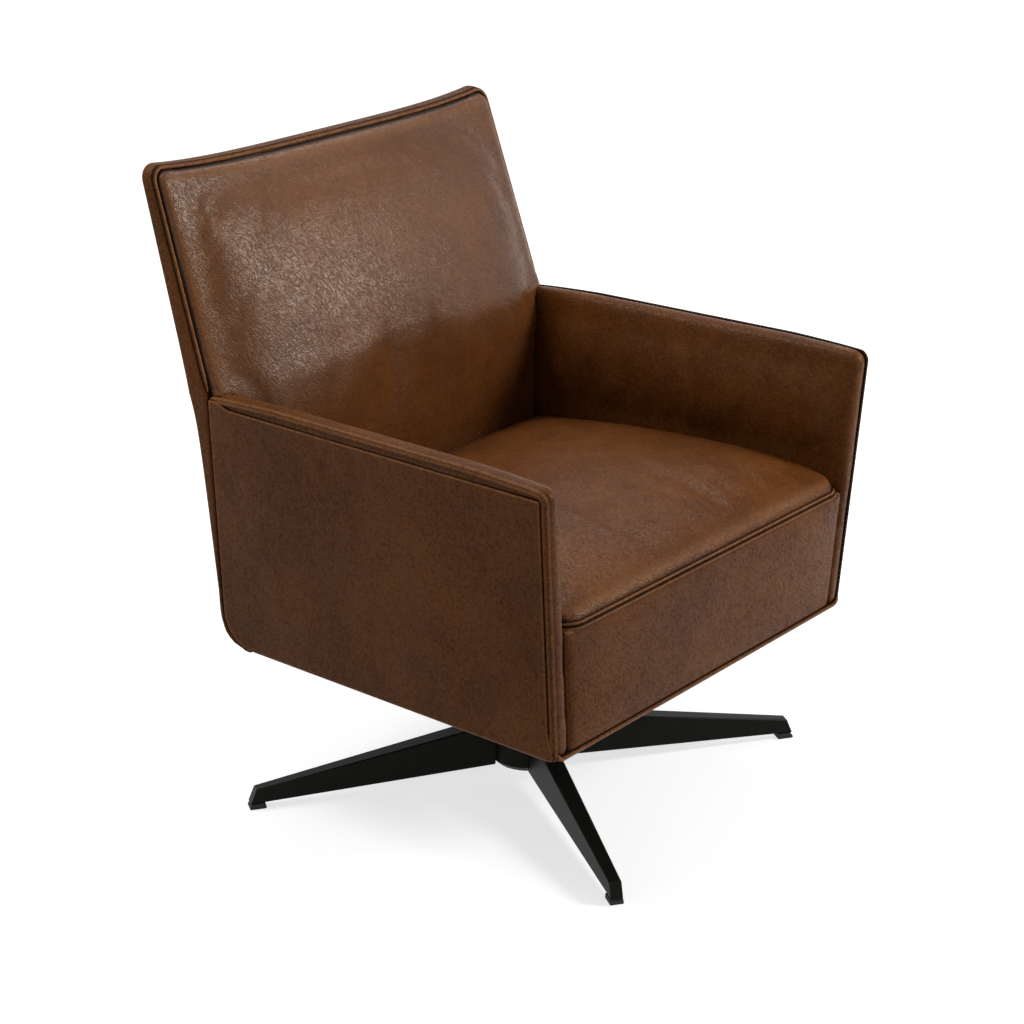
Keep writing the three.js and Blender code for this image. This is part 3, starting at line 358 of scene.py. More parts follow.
def tube_skin(name, rings, wear_and_shading):
    """A closed band over rings that come back to the first one."""
    count = len(rings[0])
    faces = ring_faces(count, len(rings))
    last = (len(rings) - 1) * count
    for i in range(count):
        on = (i + 1) % count
        faces.append((last + i, last + on, on, i))
    piece = mesh_object(name, np.concatenate(rings), faces)
    set_wear_and_shading(piece, np.repeat(wear_and_shading, count))
    return piece


STRIP_TIP = 0.4
STRIP_TAPER = 3


def strip(name, path, facing, section, wear_and_shading):
    """A flat bead laid along a path. Its section is (across, out) pairs, drawn in at both ends."""
    along = np.gradient(path, axis=0)
    along /= np.linalg.norm(along, axis=1, keepdims=True)
    across = np.cross(along, facing)
    across /= np.linalg.norm(across, axis=1, keepdims=True)
    out = np.cross(across, along)
    ends = np.minimum(np.arange(len(path)), np.arange(len(path))[::-1])
    full = np.clip((ends + STRIP_TIP) / STRIP_TAPER, 0, 1) ** 0.5
    rings = [path + across * (u * full)[:, None] + out * (v * full)[:, None] for u, v in section]
    points = np.concatenate([*rings, [path[0]], [path[-1]]])
    count, sides = len(path), len(section)
    faces = []
    for k in range(sides):
        low, high = k * count, ((k + 1) % sides) * count
        faces.extend((low + i, low + i + 1, high + i + 1, high + i) for i in range(count - 1))
        faces.append((len(points) - 2, low, high))
        faces.append((len(points) - 1, high + count - 1, low + count - 1))
    piece = mesh_object(name, points, faces)
    set_wear_and_shading(piece, np.concatenate([np.repeat(wear_and_shading, count), [0, 0]]))
    return piece


# Padding, swelled like a filled cover

CLOTH_FRAMES = 20
CLOTH_QUALITY = 6
COVER_MASS = 0.35
COVER_STIFFNESS = 18
COVER_SHEAR_STIFFNESS = 8
COVER_BENDING_STIFFNESS = 0.8
COVER_SLACK = 0.02
AIR_PRESSURE = 4.0
HELD_LEVELS = 10
REST_ROUNDS = 2
SWELL_ROUNDS = 12
SWELL_EASED = 0.6
SMOOTHING_SHARE = 0.5
# Painted shade at a sewn rim, and beside it a lighter rubbed band with a painted highlight on the roll
RIM_PAINTED_SHADE = (0.0012, 0.0048)
RIM_RUB_SHEEN = 0.42
RIM_RUB_SHEEN_STARTS = (0.004, 0.008)
RIM_RUB_SHEEN_ENDS = (0.009, 0.026)


def remeshed(piece, voxel):
    """Gives a piece an even mesh of small squares."""
    modifier = piece.modifiers.new("even", "REMESH")
    modifier.mode = "VOXEL"
    modifier.voxel_size = voxel
    modifier.use_smooth_shade = True
    bake_modifiers(piece)


def bake_modifiers(piece):
    """Makes a piece's modifiers part of its mesh."""
    graph = bpy.context.evaluated_depsgraph_get()
    mesh = bpy.data.meshes.new_from_object(piece.evaluated_get(graph), depsgraph=graph)
    piece.modifiers.clear()
    old, piece.data = piece.data, mesh
    bpy.data.meshes.remove(old)
    mesh.name = piece.name


def places(mesh):
    """The points of a mesh, one to a row."""
    flat = np.empty(len(mesh.vertices) * 3, np.float32)
    mesh.vertices.foreach_get("co", flat)
    return flat.reshape(-1, 3).astype(float)


def move_to(mesh, points):
    mesh.vertices.foreach_set("co", np.asarray(points, np.float32).ravel())
    mesh.update()


def eased(mesh, points, rounds):
    """Evens out a surface by drawing each point towards its neighbours."""
    edges = np.empty(len(mesh.edges) * 2, np.int32)
    mesh.edges.foreach_get("vertices", edges)
    a, b = edges.reshape(-1, 2).T
    degree = np.bincount(np.concatenate([a, b]), minlength=len(points))[:, None]
    for _ in range(rounds):
        total = np.zeros_like(points)
        np.add.at(total, a, points[b])
        np.add.at(total, b, points[a])
        points = mix(points, total / degree, SMOOTHING_SHARE)
    return points


def plump(piece, held, voxel, most, rim=None):
    """Fills a padded piece, which swells by less than the length most.

    held(points) is 1 where the cover is sewn down or backed, and 0 where it is free.
    """
    remeshed(piece, voxel)
    mesh = piece.data
    rest = eased(mesh, places(mesh), REST_ROUNDS)
    move_to(mesh, rest)
    fixed = np.clip(held(rest - [0, AXIS_Y, 0]), 0, 1)
    shift = simulated(piece, fixed) - rest
    length = np.linalg.norm(shift, axis=1, keepdims=True)
    shift *= most * np.tanh(length / most) / np.maximum(length, 1e-9) * (1 - fixed[:, None])
    move_to(mesh, rest + mix(shift, eased(mesh, shift, SWELL_ROUNDS), SWELL_EASED))
    piece.vertex_groups.clear()
    finer = piece.modifiers.new("finer", "SUBSURF")
    finer.levels = finer.render_levels = 1
    bake_modifiers(piece)
    piece.data.polygons.foreach_set("use_smooth", [True] * len(piece.data.polygons))
    set_wear_and_shading(piece, rim_wear_and_shading(piece, rim))


def rim_wear_and_shading(piece, rim):
    """Painted shade at a sewn rim and a lighter rubbed band beside it with a painted highlight. rim(points) is the
    distance from the seam.
    """
    if rim is None:
        return np.zeros(len(piece.data.vertices))
    distance = rim(places(piece.data) - [0, AXIS_Y, 0])
    band = smoothstep(distance, *RIM_RUB_SHEEN_STARTS) * (1 - smoothstep(distance, *RIM_RUB_SHEEN_ENDS))
    return RIM_RUB_SHEEN * band - (1 - smoothstep(distance, *RIM_PAINTED_SHADE))


def simulated(piece, fixed):
    """Runs the cover as cloth with air inside and returns where its points end."""
    group = piece.vertex_groups.new(name="held")
    for weight in range(1, HELD_LEVELS + 1):
        members = np.flatnonzero(np.rint(fixed * HELD_LEVELS) == weight)
        if len(members):
            group.add(members.tolist(), weight / HELD_LEVELS, "REPLACE")
    cloth = piece.modifiers.new("cover", "CLOTH")
    settings = cloth.settings
    settings.quality = CLOTH_QUALITY
    settings.mass = COVER_MASS
    settings.tension_stiffness = settings.compression_stiffness = COVER_STIFFNESS
    settings.shear_stiffness = COVER_SHEAR_STIFFNESS
    settings.bending_stiffness = COVER_BENDING_STIFFNESS
    settings.use_pressure = True
    settings.uniform_pressure_force = AIR_PRESSURE
    settings.vertex_group_mass = "held"
    settings.shrink_min = -COVER_SLACK
    settings.effector_weights.gravity = 0
    cloth.collision_settings.use_collision = False
    cloth.point_cache.frame_start, cloth.point_cache.frame_end = 1, CLOTH_FRAMES
    scene = bpy.context.scene
    for number in range(1, CLOTH_FRAMES + 1):
        scene.frame_set(number)
    graph = bpy.context.evaluated_depsgraph_get()
    swelled = places(piece.evaluated_get(graph).data)
    piece.modifiers.clear()
    scene.frame_set(1)
    return swelled


# Arms

# Rings of an arm's pieces: how far in from its outline, and how deep from its panel's face
PANEL_BACK = ((0.030, PANEL_THICKNESS), (0.0015, PANEL_THICKNESS), (0.0003, 0.0034))
PANEL_EDGE_INSETS = [0.0, 0.0003, 0.0008, 0.0015, 0.0024, 0.0034]
PANEL_RING_SHARE = 0.985
# Painted shade on the panel's edge rings, then a lighter rubbed band with a painted highlight on its rolled edge
PANEL_WEAR_AND_SHADING = [-1, -1, -1, -1, -0.9, -0.3, 0.7, 0.75, 0.3]
PANEL_DOME_REACH = 0.10
# Their third numbers are painted shade, -1 darkest, in the groove and along the seam
GUSSET_GROOVE = [(0.0120, 0.0056, -1), (0.0092, 0.0050, -1), (0.0080, 0.0030, -1)]
GUSSET_SEAM = [(0.0008, 0.0083, -0.9), (0.0022, 0.0088, -1), (0.0060, 0.0088, -1), (0.0100, 0.0086, -1)]
GUSSET_FACE_DEPTH = 0.0008
GUSSET_ROUND_STEPS = 9
STITCH_DIP = 0.0005
STITCH_DIP_ANGLE = 0.72
STITCH_DIP_SPREAD = 0.12
# Painted shade in the stitch dip
STITCH_DIP_SHADE = 2200
PAD_SIDE = ((0.0090, 0.0030), (0.0075, 0.0050), (0.0050, 0.0076), (0.0024, 0.0092), (0.0006, 0.0112))
PAD_EDGE_INSETS = [0.0, 0.0004, 0.0012, 0.0024, 0.0040]
PAD_RING_SHARES = [0.988, 0.98]
PAD_LEAST_DEPTH = 0.0130
PAD_ARCH_FOOT = 0.300
PAD_CROWN_FROM = 0.190
SIDE_MIDDLE = np.array([-PAD_MIDDLE_BACK, PAD_MIDDLE_HEIGHT])

# Rings of any face, as shares of the way out from its middle
FACE_SHARES = [0.97, 0.93, 0.88, 0.82, 0.75, 0.67, 0.58, 0.49, 0.4, 0.31, 0.22, 0.13, 0.05]


def padded_out(wear_and_shading, rings):
    """Values for all rings, from painted shade to rubbed sheen: the rings past the listed ones are plain."""
    return [*wear_and_shading, *[0] * (len(rings) - len(wear_and_shading))]


def arm_outline(corner_round):
    """Outline of an arm seen from its side, as (back, up) in the arm's own frame."""
    return rounded_outline([
        (-ARM_FRONT + ARM_FRONT_LEAN, 0, PANEL_BASE_ROUND),
        (REAR_AT_FOOT, 0, HEEL_ROUND),
        (REAR_AT_TOP, PANEL_RISE, corner_round / 2),
        (-ARM_FRONT, PANEL_RISE, corner_round),
    ])


def at_depth(points, depth):
    """Points of an arm's side, put at a depth in from its panel's face."""
    return np.column_stack([np.full(len(points), -depth), points])


def panel_outline():
    """Outline of the outer leather: short of the arm's edge on top and in front, out to it elsewhere."""
    outline = arm_outline(PANEL_FRONT_ROUND)
    back, up = outline.T
    front_share = smoothstep(REAR_AT_TOP - 0.012 - back, 0, 0.03) * smoothstep(up, 0.006, 0.045)
    near_edge = np.maximum(smoothstep(up, PANEL_RISE - 0.05, PANEL_RISE - 0.01),
                           smoothstep(-back, ARM_FRONT - 0.055, ARM_FRONT - 0.02))
    inset = mix(PANEL_REAR_INSET, PANEL_INSET, front_share * near_edge)
    return outline + inward(outline) * inset[:, None]


def side_panel(name, side):
    """The arm's outer leather, tight over a thin layer of wadding, with rolled edges."""
    outline = panel_outline()
    normals = inward(outline)

    def face(points):
        distance = edge_distance(points, outline)
        dome = PANEL_DOME * smoothstep(distance, 0, PANEL_DOME_REACH)
        return np.column_stack([dome - rolled(distance, PANEL_EDGE_ROUND), points])

    rings = [at_depth(outline + normals * inset, depth) for inset, depth in PANEL_BACK]
    shares = [PANEL_RING_SHARE, *FACE_SHARES]
    rings += [face(ring) for ring in drawn_in(outline, PANEL_EDGE_INSETS, shares, SIDE_MIDDLE)]
    rings = [arm_to_chair(ring, side) for ring in rings]
    return skin(name, rings, padded_out(PANEL_WEAR_AND_SHADING, rings))


def pad_arched(points):
    """Lifts the pad's top edge in a long low arch."""
    along = np.clip((points[:, 0] + ARM_FRONT) / (ARM_FRONT + ARM_REAR), 0, 1)
    upper = np.clip((points[:, 1] - PAD_ARCH_FOOT) / (PANEL_RISE - PAD_ARCH_FOOT), 0, 1)
    lifted = points.copy()
    lifted[:, 1] += PAD_ARCH * np.minimum(1, 6 * along * (1 - along)) ** 0.75 * upper
    return lifted


def pad_roll_at(points):
    """The inner edge is soft above the seat and tight beside the front panel."""
    return mix(PAD_TIGHT_ROLL, PAD_ROLL, smoothstep(points[:, 1], PAD_FREE_FROM, PAD_FREE_FULL))


def pad_face(points, outline):
    """Inner face of the pad: how deep it stands at a place on the arm's side."""
    distance = edge_distance(points, outline)
    free = smoothstep(points[:, 1], PAD_CROWN_FROM, PAD_MIDDLE_HEIGHT)
    along = (points[:, 0] - (ARM_REAR - ARM_FRONT) / 2) / ((ARM_REAR + ARM_FRONT) / 2)
    up = np.maximum(0, points[:, 1] - PAD_MIDDLE_HEIGHT) / (PANEL_RISE - PAD_MIDDLE_HEIGHT)
    crown = PAD_CROWN * free * swell(along, 3.0) * swell(up, 2.5) ** 0.8
    roll = pad_roll_at(points)
    return ARM_THICKNESS + crown - rolled(distance, roll) + roll * 0.25


def gusset_section():
    """Section of the strip round the arm's edge, as (inset, depth, shading), from its groove to its seam: shading
    below 0 is painted shade, above 0 a rubbed band with a painted highlight.
    """
    section = list(GUSSET_GROOVE)
    for angle in np.linspace(0, math.pi / 2, GUSSET_ROUND_STEPS):
        inset = GUSSET_ROUND * (1 - math.sin(angle))
        depth = GUSSET_FACE_DEPTH + GUSSET_ROUND * (1 - math.cos(angle))
        dip = STITCH_DIP * math.exp(-((angle - STITCH_DIP_ANGLE) / STITCH_DIP_SPREAD) ** 2)
        # Lighter mid-round: a rubbed band with a painted highlight. Darker at the groove and in the stitch dip:
        # painted shade.
        wear_and_shading = 0.7 * max(0, math.sin(2 * angle)) ** 0.5 - 0.5 * (angle < 0.1) - STITCH_DIP_SHADE * dip
        section.append((inset + dip, depth + dip, wear_and_shading))
    return section + GUSSET_SEAM


def arm_gusset(name, side):
    """The sewn strip that rounds an arm's edge between its panel and its pad."""
    outline = arm_outline(PAD_CORNER_ROUND)
    normals = inward(outline)
    section = gusset_section()
    rings = [at_depth(pad_arched(outline + normals * inset), depth) for inset, depth, _ in section]
    return tube_skin(name, [arm_to_chair(ring, side) for ring in rings], [wear_and_shading for _, _, wear_and_shading in section])


def arm_pad(name, side):
    """The padded inner side of an arm."""
    outline = arm_outline(PAD_CORNER_ROUND)
    normals = inward(outline)
    rings = [at_depth(pad_arched(outline + normals * inset), depth) for inset, depth in PAD_SIDE]
    for ring in drawn_in(outline, PAD_EDGE_INSETS, PAD_RING_SHARES + FACE_SHARES, SIDE_MIDDLE):
        depth = np.maximum(pad_face(ring, outline), PAD_LEAST_DEPTH)
        rings.append(np.column_stack([-depth, pad_arched(ring)]))
    return skin(name, [arm_to_chair(ring, side) for ring in rings])


# Seat

SEAT_CENTRE = (0, -SEAT_MIDDLE)
SEAT_LEDGE = 0.002
SEAT_LEDGE_DROP = 0.0030
SEAT_FLOOR_SHARES = [0.8, 0.5, 0.25]
SEAT_WALL_LEVELS = [*np.linspace(0.315, 0.400, 9), SEAT_SEAM - SEAT_LEDGE_DROP]
SEAT_EDGE_INSETS = [0.0, 0.0004, 0.0012, 0.0026, 0.0045, 0.007, 0.010]
PANEL_HEAD_GAP = 0.0026
PANEL_HEAD_ROUND = 0.005
FRONT_PANEL_REAR = ((0.04, 0), (0.004, 0), (0.0008, 0.002), (0, 0.006))
FRONT_PANEL_EDGE_INSETS = [0.0, 0.0003, 0.0009, 0.0018, 0.0030, 0.0042]
FRONT_PANEL_SHARES = [0.975, 0.95, 0.9, 0.8, 0.68, 0.54, 0.4, 0.26, 0.12]
# Painted shade where the panel's edge meets the body, then a lighter rolled edge, rubbed, with a painted highlight
FRONT_PANEL_WEAR_AND_SHADING = [0, -1, -1, -0.8, -0.3, 0.3, 0.6, 0.5, 0.25]
FRONT_WELT_RISE = 0.0034
FRONT_WELT_INSET = 0.0058
FRONT_WELT_TURN = 0.013
FRONT_WELT_TURN_END = 1.3
FRONT_WELT_SECTION = [
    (-0.0034, -0.0090), (-0.0034, -0.0012), (-0.0029, 0.0006), (-0.0018, 0.0016), (0.0, 0.0020),
    (0.0018, 0.0016), (0.0029, 0.0006), (0.0034, -0.0012), (0.0034, -0.0090),
]
# Painted shade on the welt's flanks; its crown is rubbed, with a painted highlight
FRONT_WELT_WEAR_AND_SHADING = [-1, -0.8, 0.1, 0.6, 0.5, 0.6, 0.1, -0.8, -1]
SEAM_ARC_SHARE = 0.72
SEAM_FACES_UP = 0.35
SEAM_STANDS_OUT = 0.0008
SEAM_SECTION = [
    (-0.0056, -0.0040), (-0.0052, -0.0004), (-0.0044, 0.0014), (-0.0030, 0.0021), (-0.0015, 0.0013),
    (0.0, -0.0008), (0.0015, 0.0013), (0.0030, 0.0021), (0.0044, 0.0014), (0.0052, -0.0004), (0.0056, -0.0040),
]
# Painted shade on the flanks and in the dip between the beads; their crowns are rubbed, with a painted highlight
SEAM_WEAR_AND_SHADING = [-1, -1, 0.5, 0.75, -0.5, -1, -0.5, 0.75, 0.5, -1, -1]


def standing(points, depth):
    """Points of an upright outline, given as (across, up), put at a depth."""
    return np.column_stack([points[:, 0], np.broadcast_to(depth, len(points)), points[:, 1]])


def run_of(outline, keep):
    """The kept points of a closed outline as one run in its order."""
    start = int(np.flatnonzero(~keep)[-1]) + 1
    return np.roll(np.arange(len(outline)), -start)[:int(keep.sum())]


def seat_half_width(y, z):
    return arm_inner(y, z) - SEAT_SIDE_GAP


def seat_outline():
    front = front_at(SEAT_SEAM)
    return rounded_outline([
        (-seat_half_width(front, SEAT_SEAM), front, SEAT_FRONT_ROUND),
        (seat_half_width(front, SEAT_SEAM), front, SEAT_FRONT_ROUND),
        (seat_half_width(SEAT_REAR, SEAT_SEAM), SEAT_REAR, SEAT_REAR_ROUND),
        (-seat_half_width(SEAT_REAR, SEAT_SEAM), SEAT_REAR, SEAT_REAR_ROUND),
    ])


def seat_top(points, outline):
    """Height of the seat's upper face: a long soft roll in from its seams, then a low crown."""
    x, y = points.T
    front = front_at(SEAT_SEAM)
    along = np.clip((y - front) / (SEAT_REAR - front), 0, 1)
    across = x / seat_half_width(y, SEAT_SEAM)
    rise = SEAT_SIDE_RISE * np.sin(math.pi * along**0.6)
    crown = SEAT_CROWN * swell(across, 3) * swell(2 * along - 1, 3)
    inside = np.clip(edge_distance(points, outline) / SEAT_ROLL, 0, 1)
    return SEAT_SEAM + rise + crown + SEAT_ROLL_RISE * np.sqrt(1 - (1 - inside) ** 2)


def seat_cushion(name):
    """The padded seat: a crowned top over walls that stay between the arms."""
    outline = seat_outline()
    behind_panel = front_at(SEAT_SEAM) + FRONT_PANEL_DEPTH + GAP

    def lower(points, z):
        x, y = points.T
        narrow = arm_inner(y, z) / arm_inner(y, SEAT_SEAM)
        return np.column_stack([x * narrow, np.maximum(y, behind_panel), np.full(len(points), z)])

    floor = drawn_in(outline, [SEAT_LEDGE], SEAT_FLOOR_SHARES, SEAT_CENTRE)[::-1]
    rings = [lower(ring, SEAT_FLOOR) for ring in floor]
    rings += [lower(floor[-1], z) for z in SEAT_WALL_LEVELS]
    ledge = outline + inward(outline) * SEAT_LEDGE
    rings.append(np.column_stack([ledge, np.full(len(ledge), SEAT_SEAM - SEAT_LEDGE_DROP)]))
    for ring in drawn_in(outline, SEAT_EDGE_INSETS, FACE_SHARES, SEAT_CENTRE):
        rings.append(np.column_stack([ring, seat_top(ring, outline)]))
    return skin(name, rings)


def front_panel_outline():
    corners = []
    foot, head = BODY_BOTTOM + FRONT_WELT_HEIGHT, SEAT_SEAM - PANEL_HEAD_GAP
    for side, z, radius in ((-1, foot, FRONT_PANEL_FOOT_ROUND), (1, foot, FRONT_PANEL_FOOT_ROUND),
                            (1, head, PANEL_HEAD_ROUND), (-1, head, PANEL_HEAD_ROUND)):
        corners.append((side * seat_half_width(front_at(z), z), z, radius))
    return rounded_outline(corners)


def front_panel(name):
    """The panel below the seat's front seam, with rolled edges."""
    outline = front_panel_outline()
    normals = inward(outline)
    middle = (0, (BODY_BOTTOM + SEAT_SEAM) / 2)
    half = seat_half_width(-ARM_FRONT, middle[1])
    rear = front_at(SEAT_SEAM) + FRONT_PANEL_DEPTH

    def face(points):
        x, z = points.T
        up = (2 * z - BODY_BOTTOM - SEAT_SEAM) / (SEAT_SEAM - BODY_BOTTOM)
        bulge = FRONT_PANEL_BULGE * swell(up, 4) * swell(x / half, 8)
        return standing(points, front_at(z) - bulge + rolled(edge_distance(points, outline), FRONT_PANEL_ROLL))

    rings = [standing(outline + normals * inset, rear - ahead) for inset, ahead in FRONT_PANEL_REAR]
    rings += [face(ring) for ring in drawn_in(outline, FRONT_PANEL_EDGE_INSETS, FRONT_PANEL_SHARES, middle)]
    return skin(name, rings, padded_out(FRONT_PANEL_WEAR_AND_SHADING, rings))


def front_welt(name):
    """The sewn welt along the body's lower front edge. Its ends turn up into the arms' edge strips."""
    z = BODY_BOTTOM + FRONT_WELT_RISE
    half = arm_outer(front_at(z), z) - FRONT_WELT_INSET
    turn = FRONT_WELT_TURN
    angles = np.linspace(0, FRONT_WELT_TURN_END, 12)
    corner = [(half - turn + turn * math.sin(a), z + turn * (1 - math.cos(a))) for a in angles]
    straight = [(x, z) for x in np.linspace(turn - half, half - turn, 96)[1:-1]]
    x, up = np.array([(-x, z) for x, z in corner[::-1]] + straight + corner).T
    path = np.column_stack([x, front_at(up) - 0.0004 + 0.0012 * (up - z) / turn, up])
    facing = np.column_stack([0 * x, 0 * x - 1, -0.35 * (up < z + 0.001)])
    return strip(name, path, facing, FRONT_WELT_SECTION, FRONT_WELT_WEAR_AND_SHADING)


def seat_seam(name):
    """The double bead of the seat's front seam, from one rounded end to the other."""
    outline = seat_outline()
    order = run_of(outline, outline[:, 1] < front_at(SEAT_SEAM) + SEAT_FRONT_ROUND * SEAM_ARC_SHARE)
    flat, out = outline[order], -inward(outline)[order]
    path = np.column_stack([flat, np.full(len(flat), SEAT_SEAM)])
    facing = np.column_stack([out, np.full(len(flat), SEAM_FACES_UP)])
    facing /= np.linalg.norm(facing, axis=1, keepdims=True)
    return strip(name + "_bead", path + facing * SEAM_STANDS_OUT, facing, SEAM_SECTION, SEAM_WEAR_AND_SHADING)


# Back

BACK_MIDDLE = (0, 0.56)
HEEL_BLEND = (HEEL_TOP - 0.03, HEEL_TOP)
BACK_CROWN_REACH = 0.12
SHELL_LINING_SHARES = [0.8, 0.6, 0.4, 0.2]
BAND_LIP = 0.0035
BAND_FRONT_ROUND = ((0.0062, 0.0003), (0.0030, 0.0), (0.0014, 0.0005), (0.0004, 0.0017), (0, BAND_LIP))
BAND_SHARES = (0.25, 0.5, 0.75)
SHELL_EDGE_INSETS = [
    0.0, 0.0001, 0.0004, 0.0010, 0.0018, 0.0030, 0.0046, 0.0065, 0.0095, 0.0130, 0.0170, 0.0210,
]
CUSHION_NOTCH = ARM_TOP - 0.008
CUSHION_FACE_SINK = 0.004
CUSHION_REAR_SHARES = [0.99, 0.8, 0.6, 0.4, 0.2]
CUSHION_EDGE_INSETS = [0.0, 0.0004, 0.0012, 0.0026, 0.0045, 0.007]
CUSHION_RING_SHARE = 0.985
WELT_SINK = 0.0022
WELT_SECTION = [
    (-0.0030, -0.0150), (-0.0030, -0.0010), (-0.0027, 0.0006), (-0.0019, 0.0017), (-0.0007, 0.0022),
    (0.0007, 0.0022), (0.0018, 0.0016), (0.0026, 0.0004), (0.0029, -0.0012), (0.0029, -0.0150),
]
# Painted shade on the welt's flanks; its crown is rubbed, with a painted highlight
WELT_WEAR_AND_SHADING = [-1, -1, -0.3, 0.5, 0.9, 0.9, 0.5, -0.2, -1, -1]


def back_outline(inset=0.0):
    """Front outline of the back. Its top edge dips between two raised corners."""
    ear = BACK_HALF_WIDTH - BACK_CORNER_ROUND
    corner_top = BACK_TOP + BACK_EAR_RISE - BACK_CORNER_ROUND
    radius = BACK_CORNER_ROUND - inset
    right = [
        (arm_outer(ARM_REAR, BODY_BOTTOM) - inset, BODY_BOTTOM + inset),
        (arm_outer(ARM_REAR, ARM_TOP) - inset, ARM_TOP),
    ]
    for angle in np.linspace(0, math.pi / 2, 20):
        right.append((ear + radius * math.cos(angle), corner_top + radius * math.sin(angle)))
    for share in np.linspace(1, 0, 40)[1:]:
        right.append((ear * share, BACK_TOP + BACK_EAR_RISE * share**4 - inset))
    left = [(-x, z) for x, z in right[-2::-1]]
    return spaced(np.array(right + left))


def outer_back(name):
    """The back's outer leather: rear face, heel and side bands in one stiff shell."""
    outline = back_outline()
    normals = inward(outline)
    up = outline[:, 1]

    def rear_face(points):
        distance, z = edge_distance(points, outline), points[:, 1]
        crown = BACK_REAR_CROWN * smoothstep(distance, 0, BACK_CROWN_REACH)
        top = smoothstep(z, *HEEL_BLEND)
        return standing(points, back_rear(z) + crown * top - rolled(distance, BACK_EDGE_ROLL) * top)

    lining = drawn_in(outline, [SHELL_BAND], SHELL_LINING_SHARES, BACK_MIDDLE)[::-1]
    rings = [standing(ring, back_rear(ring[:, 1]) - SHELL_WALL) for ring in lining]
    front = np.minimum(band_front(up), back_rear(up) - SHELL_WALL)
    rings.append(standing(outline + normals * SHELL_BAND, np.minimum(front + 0.001, rings[-1][:, 1])))
    rings += [standing(outline + normals * inset, front + back) for inset, back in BAND_FRONT_ROUND]
    wall_rear = back_rear(up) - BACK_EDGE_ROLL * smoothstep(up, *HEEL_BLEND)
    for share in BAND_SHARES:
        rings.append(standing(outline, mix(np.minimum(front + BAND_LIP, wall_rear), wall_rear, share)))
    rings += [rear_face(ring) for ring in drawn_in(outline, SHELL_EDGE_INSETS, FACE_SHARES, BACK_MIDDLE)]
    return skin(name, rings)


def cushion_edge(z):
    """Front face of the back cushion at its edge."""
    share = np.clip((z - BACK_SEAT_LINE) / (ARM_TOP - BACK_SEAT_LINE), 0, 1)
    lower = mix(BACK_FACE_AT_SEAT, BACK_FACE_AT_ARM, share)
    blend = smoothstep(z, ARM_TOP - BACK_SHOULDER, ARM_TOP + BACK_SHOULDER)
    return mix(lower, band_front(np.maximum(z, ARM_TOP)) - BACK_CUSHION_EDGE, blend)


def back_cushion_outline():
    """Outline of the back's padding: inside the welt above the arms, and between them below."""
    upper = [(x, z) for x, z in back_outline(BACK_PAD_INSET) if z > CUSHION_NOTCH + 0.002]
    right = []
    for z in np.linspace(BACK_CUSHION_FLOOR, CUSHION_NOTCH, 36):
        gap = mix(BACK_CUSHION_SIDE_GAP, 0.002, smoothstep(z, 0.50, 0.57))
        right.append((arm_inner(ARM_REAR, z) - gap, z))
    right.append((arm_outer(ARM_REAR, ARM_TOP) - BACK_PAD_INSET, CUSHION_NOTCH))
    left = [(-x, z) for x, z in right[::-1]]
    return spaced(np.array(right + upper + left))


def back_cushion(name):
    """The padded inner face of the back, domed above the seat."""
    outline = back_cushion_outline()
    middle = (0, BACK_MIDDLE_HEIGHT)

    def face(points):
        x, z = points.T
        low = smoothstep(z, BACK_SEAT_LINE, BACK_MIDDLE_HEIGHT)
        up = np.maximum(0, z - BACK_MIDDLE_HEIGHT) / (BACK_TOP - BACK_MIDDLE_HEIGHT)
        crown = BACK_CUSHION_CROWN * low * swell(x / BACK_HALF_WIDTH, 2.0) * swell(up, 2.0)
        roll = BACK_CUSHION_ROLL - rolled(edge_distance(points, outline), BACK_CUSHION_ROLL)
        return standing(points, cushion_edge(z) + CUSHION_FACE_SINK - crown - roll)

    def rear(points):
        z = points[:, 1]
        hidden = BACK_PAD_HIDDEN * smoothstep(z, ARM_TOP - 0.01, ARM_TOP + 0.03)
        return standing(points, band_front(np.maximum(z, ARM_TOP)) - GAP + hidden)

    rings = [rear(ring) for ring in drawn_in(outline, [], CUSHION_REAR_SHARES, middle)[::-1]]
    shares = [CUSHION_RING_SHARE, *FACE_SHARES]
    rings += [face(ring) for ring in drawn_in(outline, CUSHION_EDGE_INSETS, shares, middle)]
    return skin(name, rings)


def back_welt(name):
    """The sewn welt round the back's padding, from one arm over the top to the other."""
    outline = back_outline()
    run = np.flatnonzero(outline[:, 1] > ARM_TOP + 0.002)
    flat = outline[run] + inward(outline)[run] * BACK_WELT_INSET
    path = standing(flat, band_front(flat[:, 1]) - WELT_SINK)
    return strip(name, path, np.tile([0.0, -1.0, 0.0], (len(path), 1)), WELT_SECTION, WELT_WEAR_AND_SHADING)


# Node trees

def node_group(kind, name, inputs, outputs):
    """A group with named inputs, given as (name, kind, value), and outputs, and its two end nodes."""
    group = bpy.data.node_groups.new(name, kind)
    for word, socket_kind, value in inputs:
        socket = group.interface.new_socket(word, in_out="INPUT", socket_type=socket_kind)
        if value is not None:
            socket.default_value = value
    for word, socket_kind in outputs:
        group.interface.new_socket(word, in_out="OUTPUT", socket_type=socket_kind)
    return group, group.nodes.new("NodeGroupInput"), group.nodes.new("NodeGroupOutput")


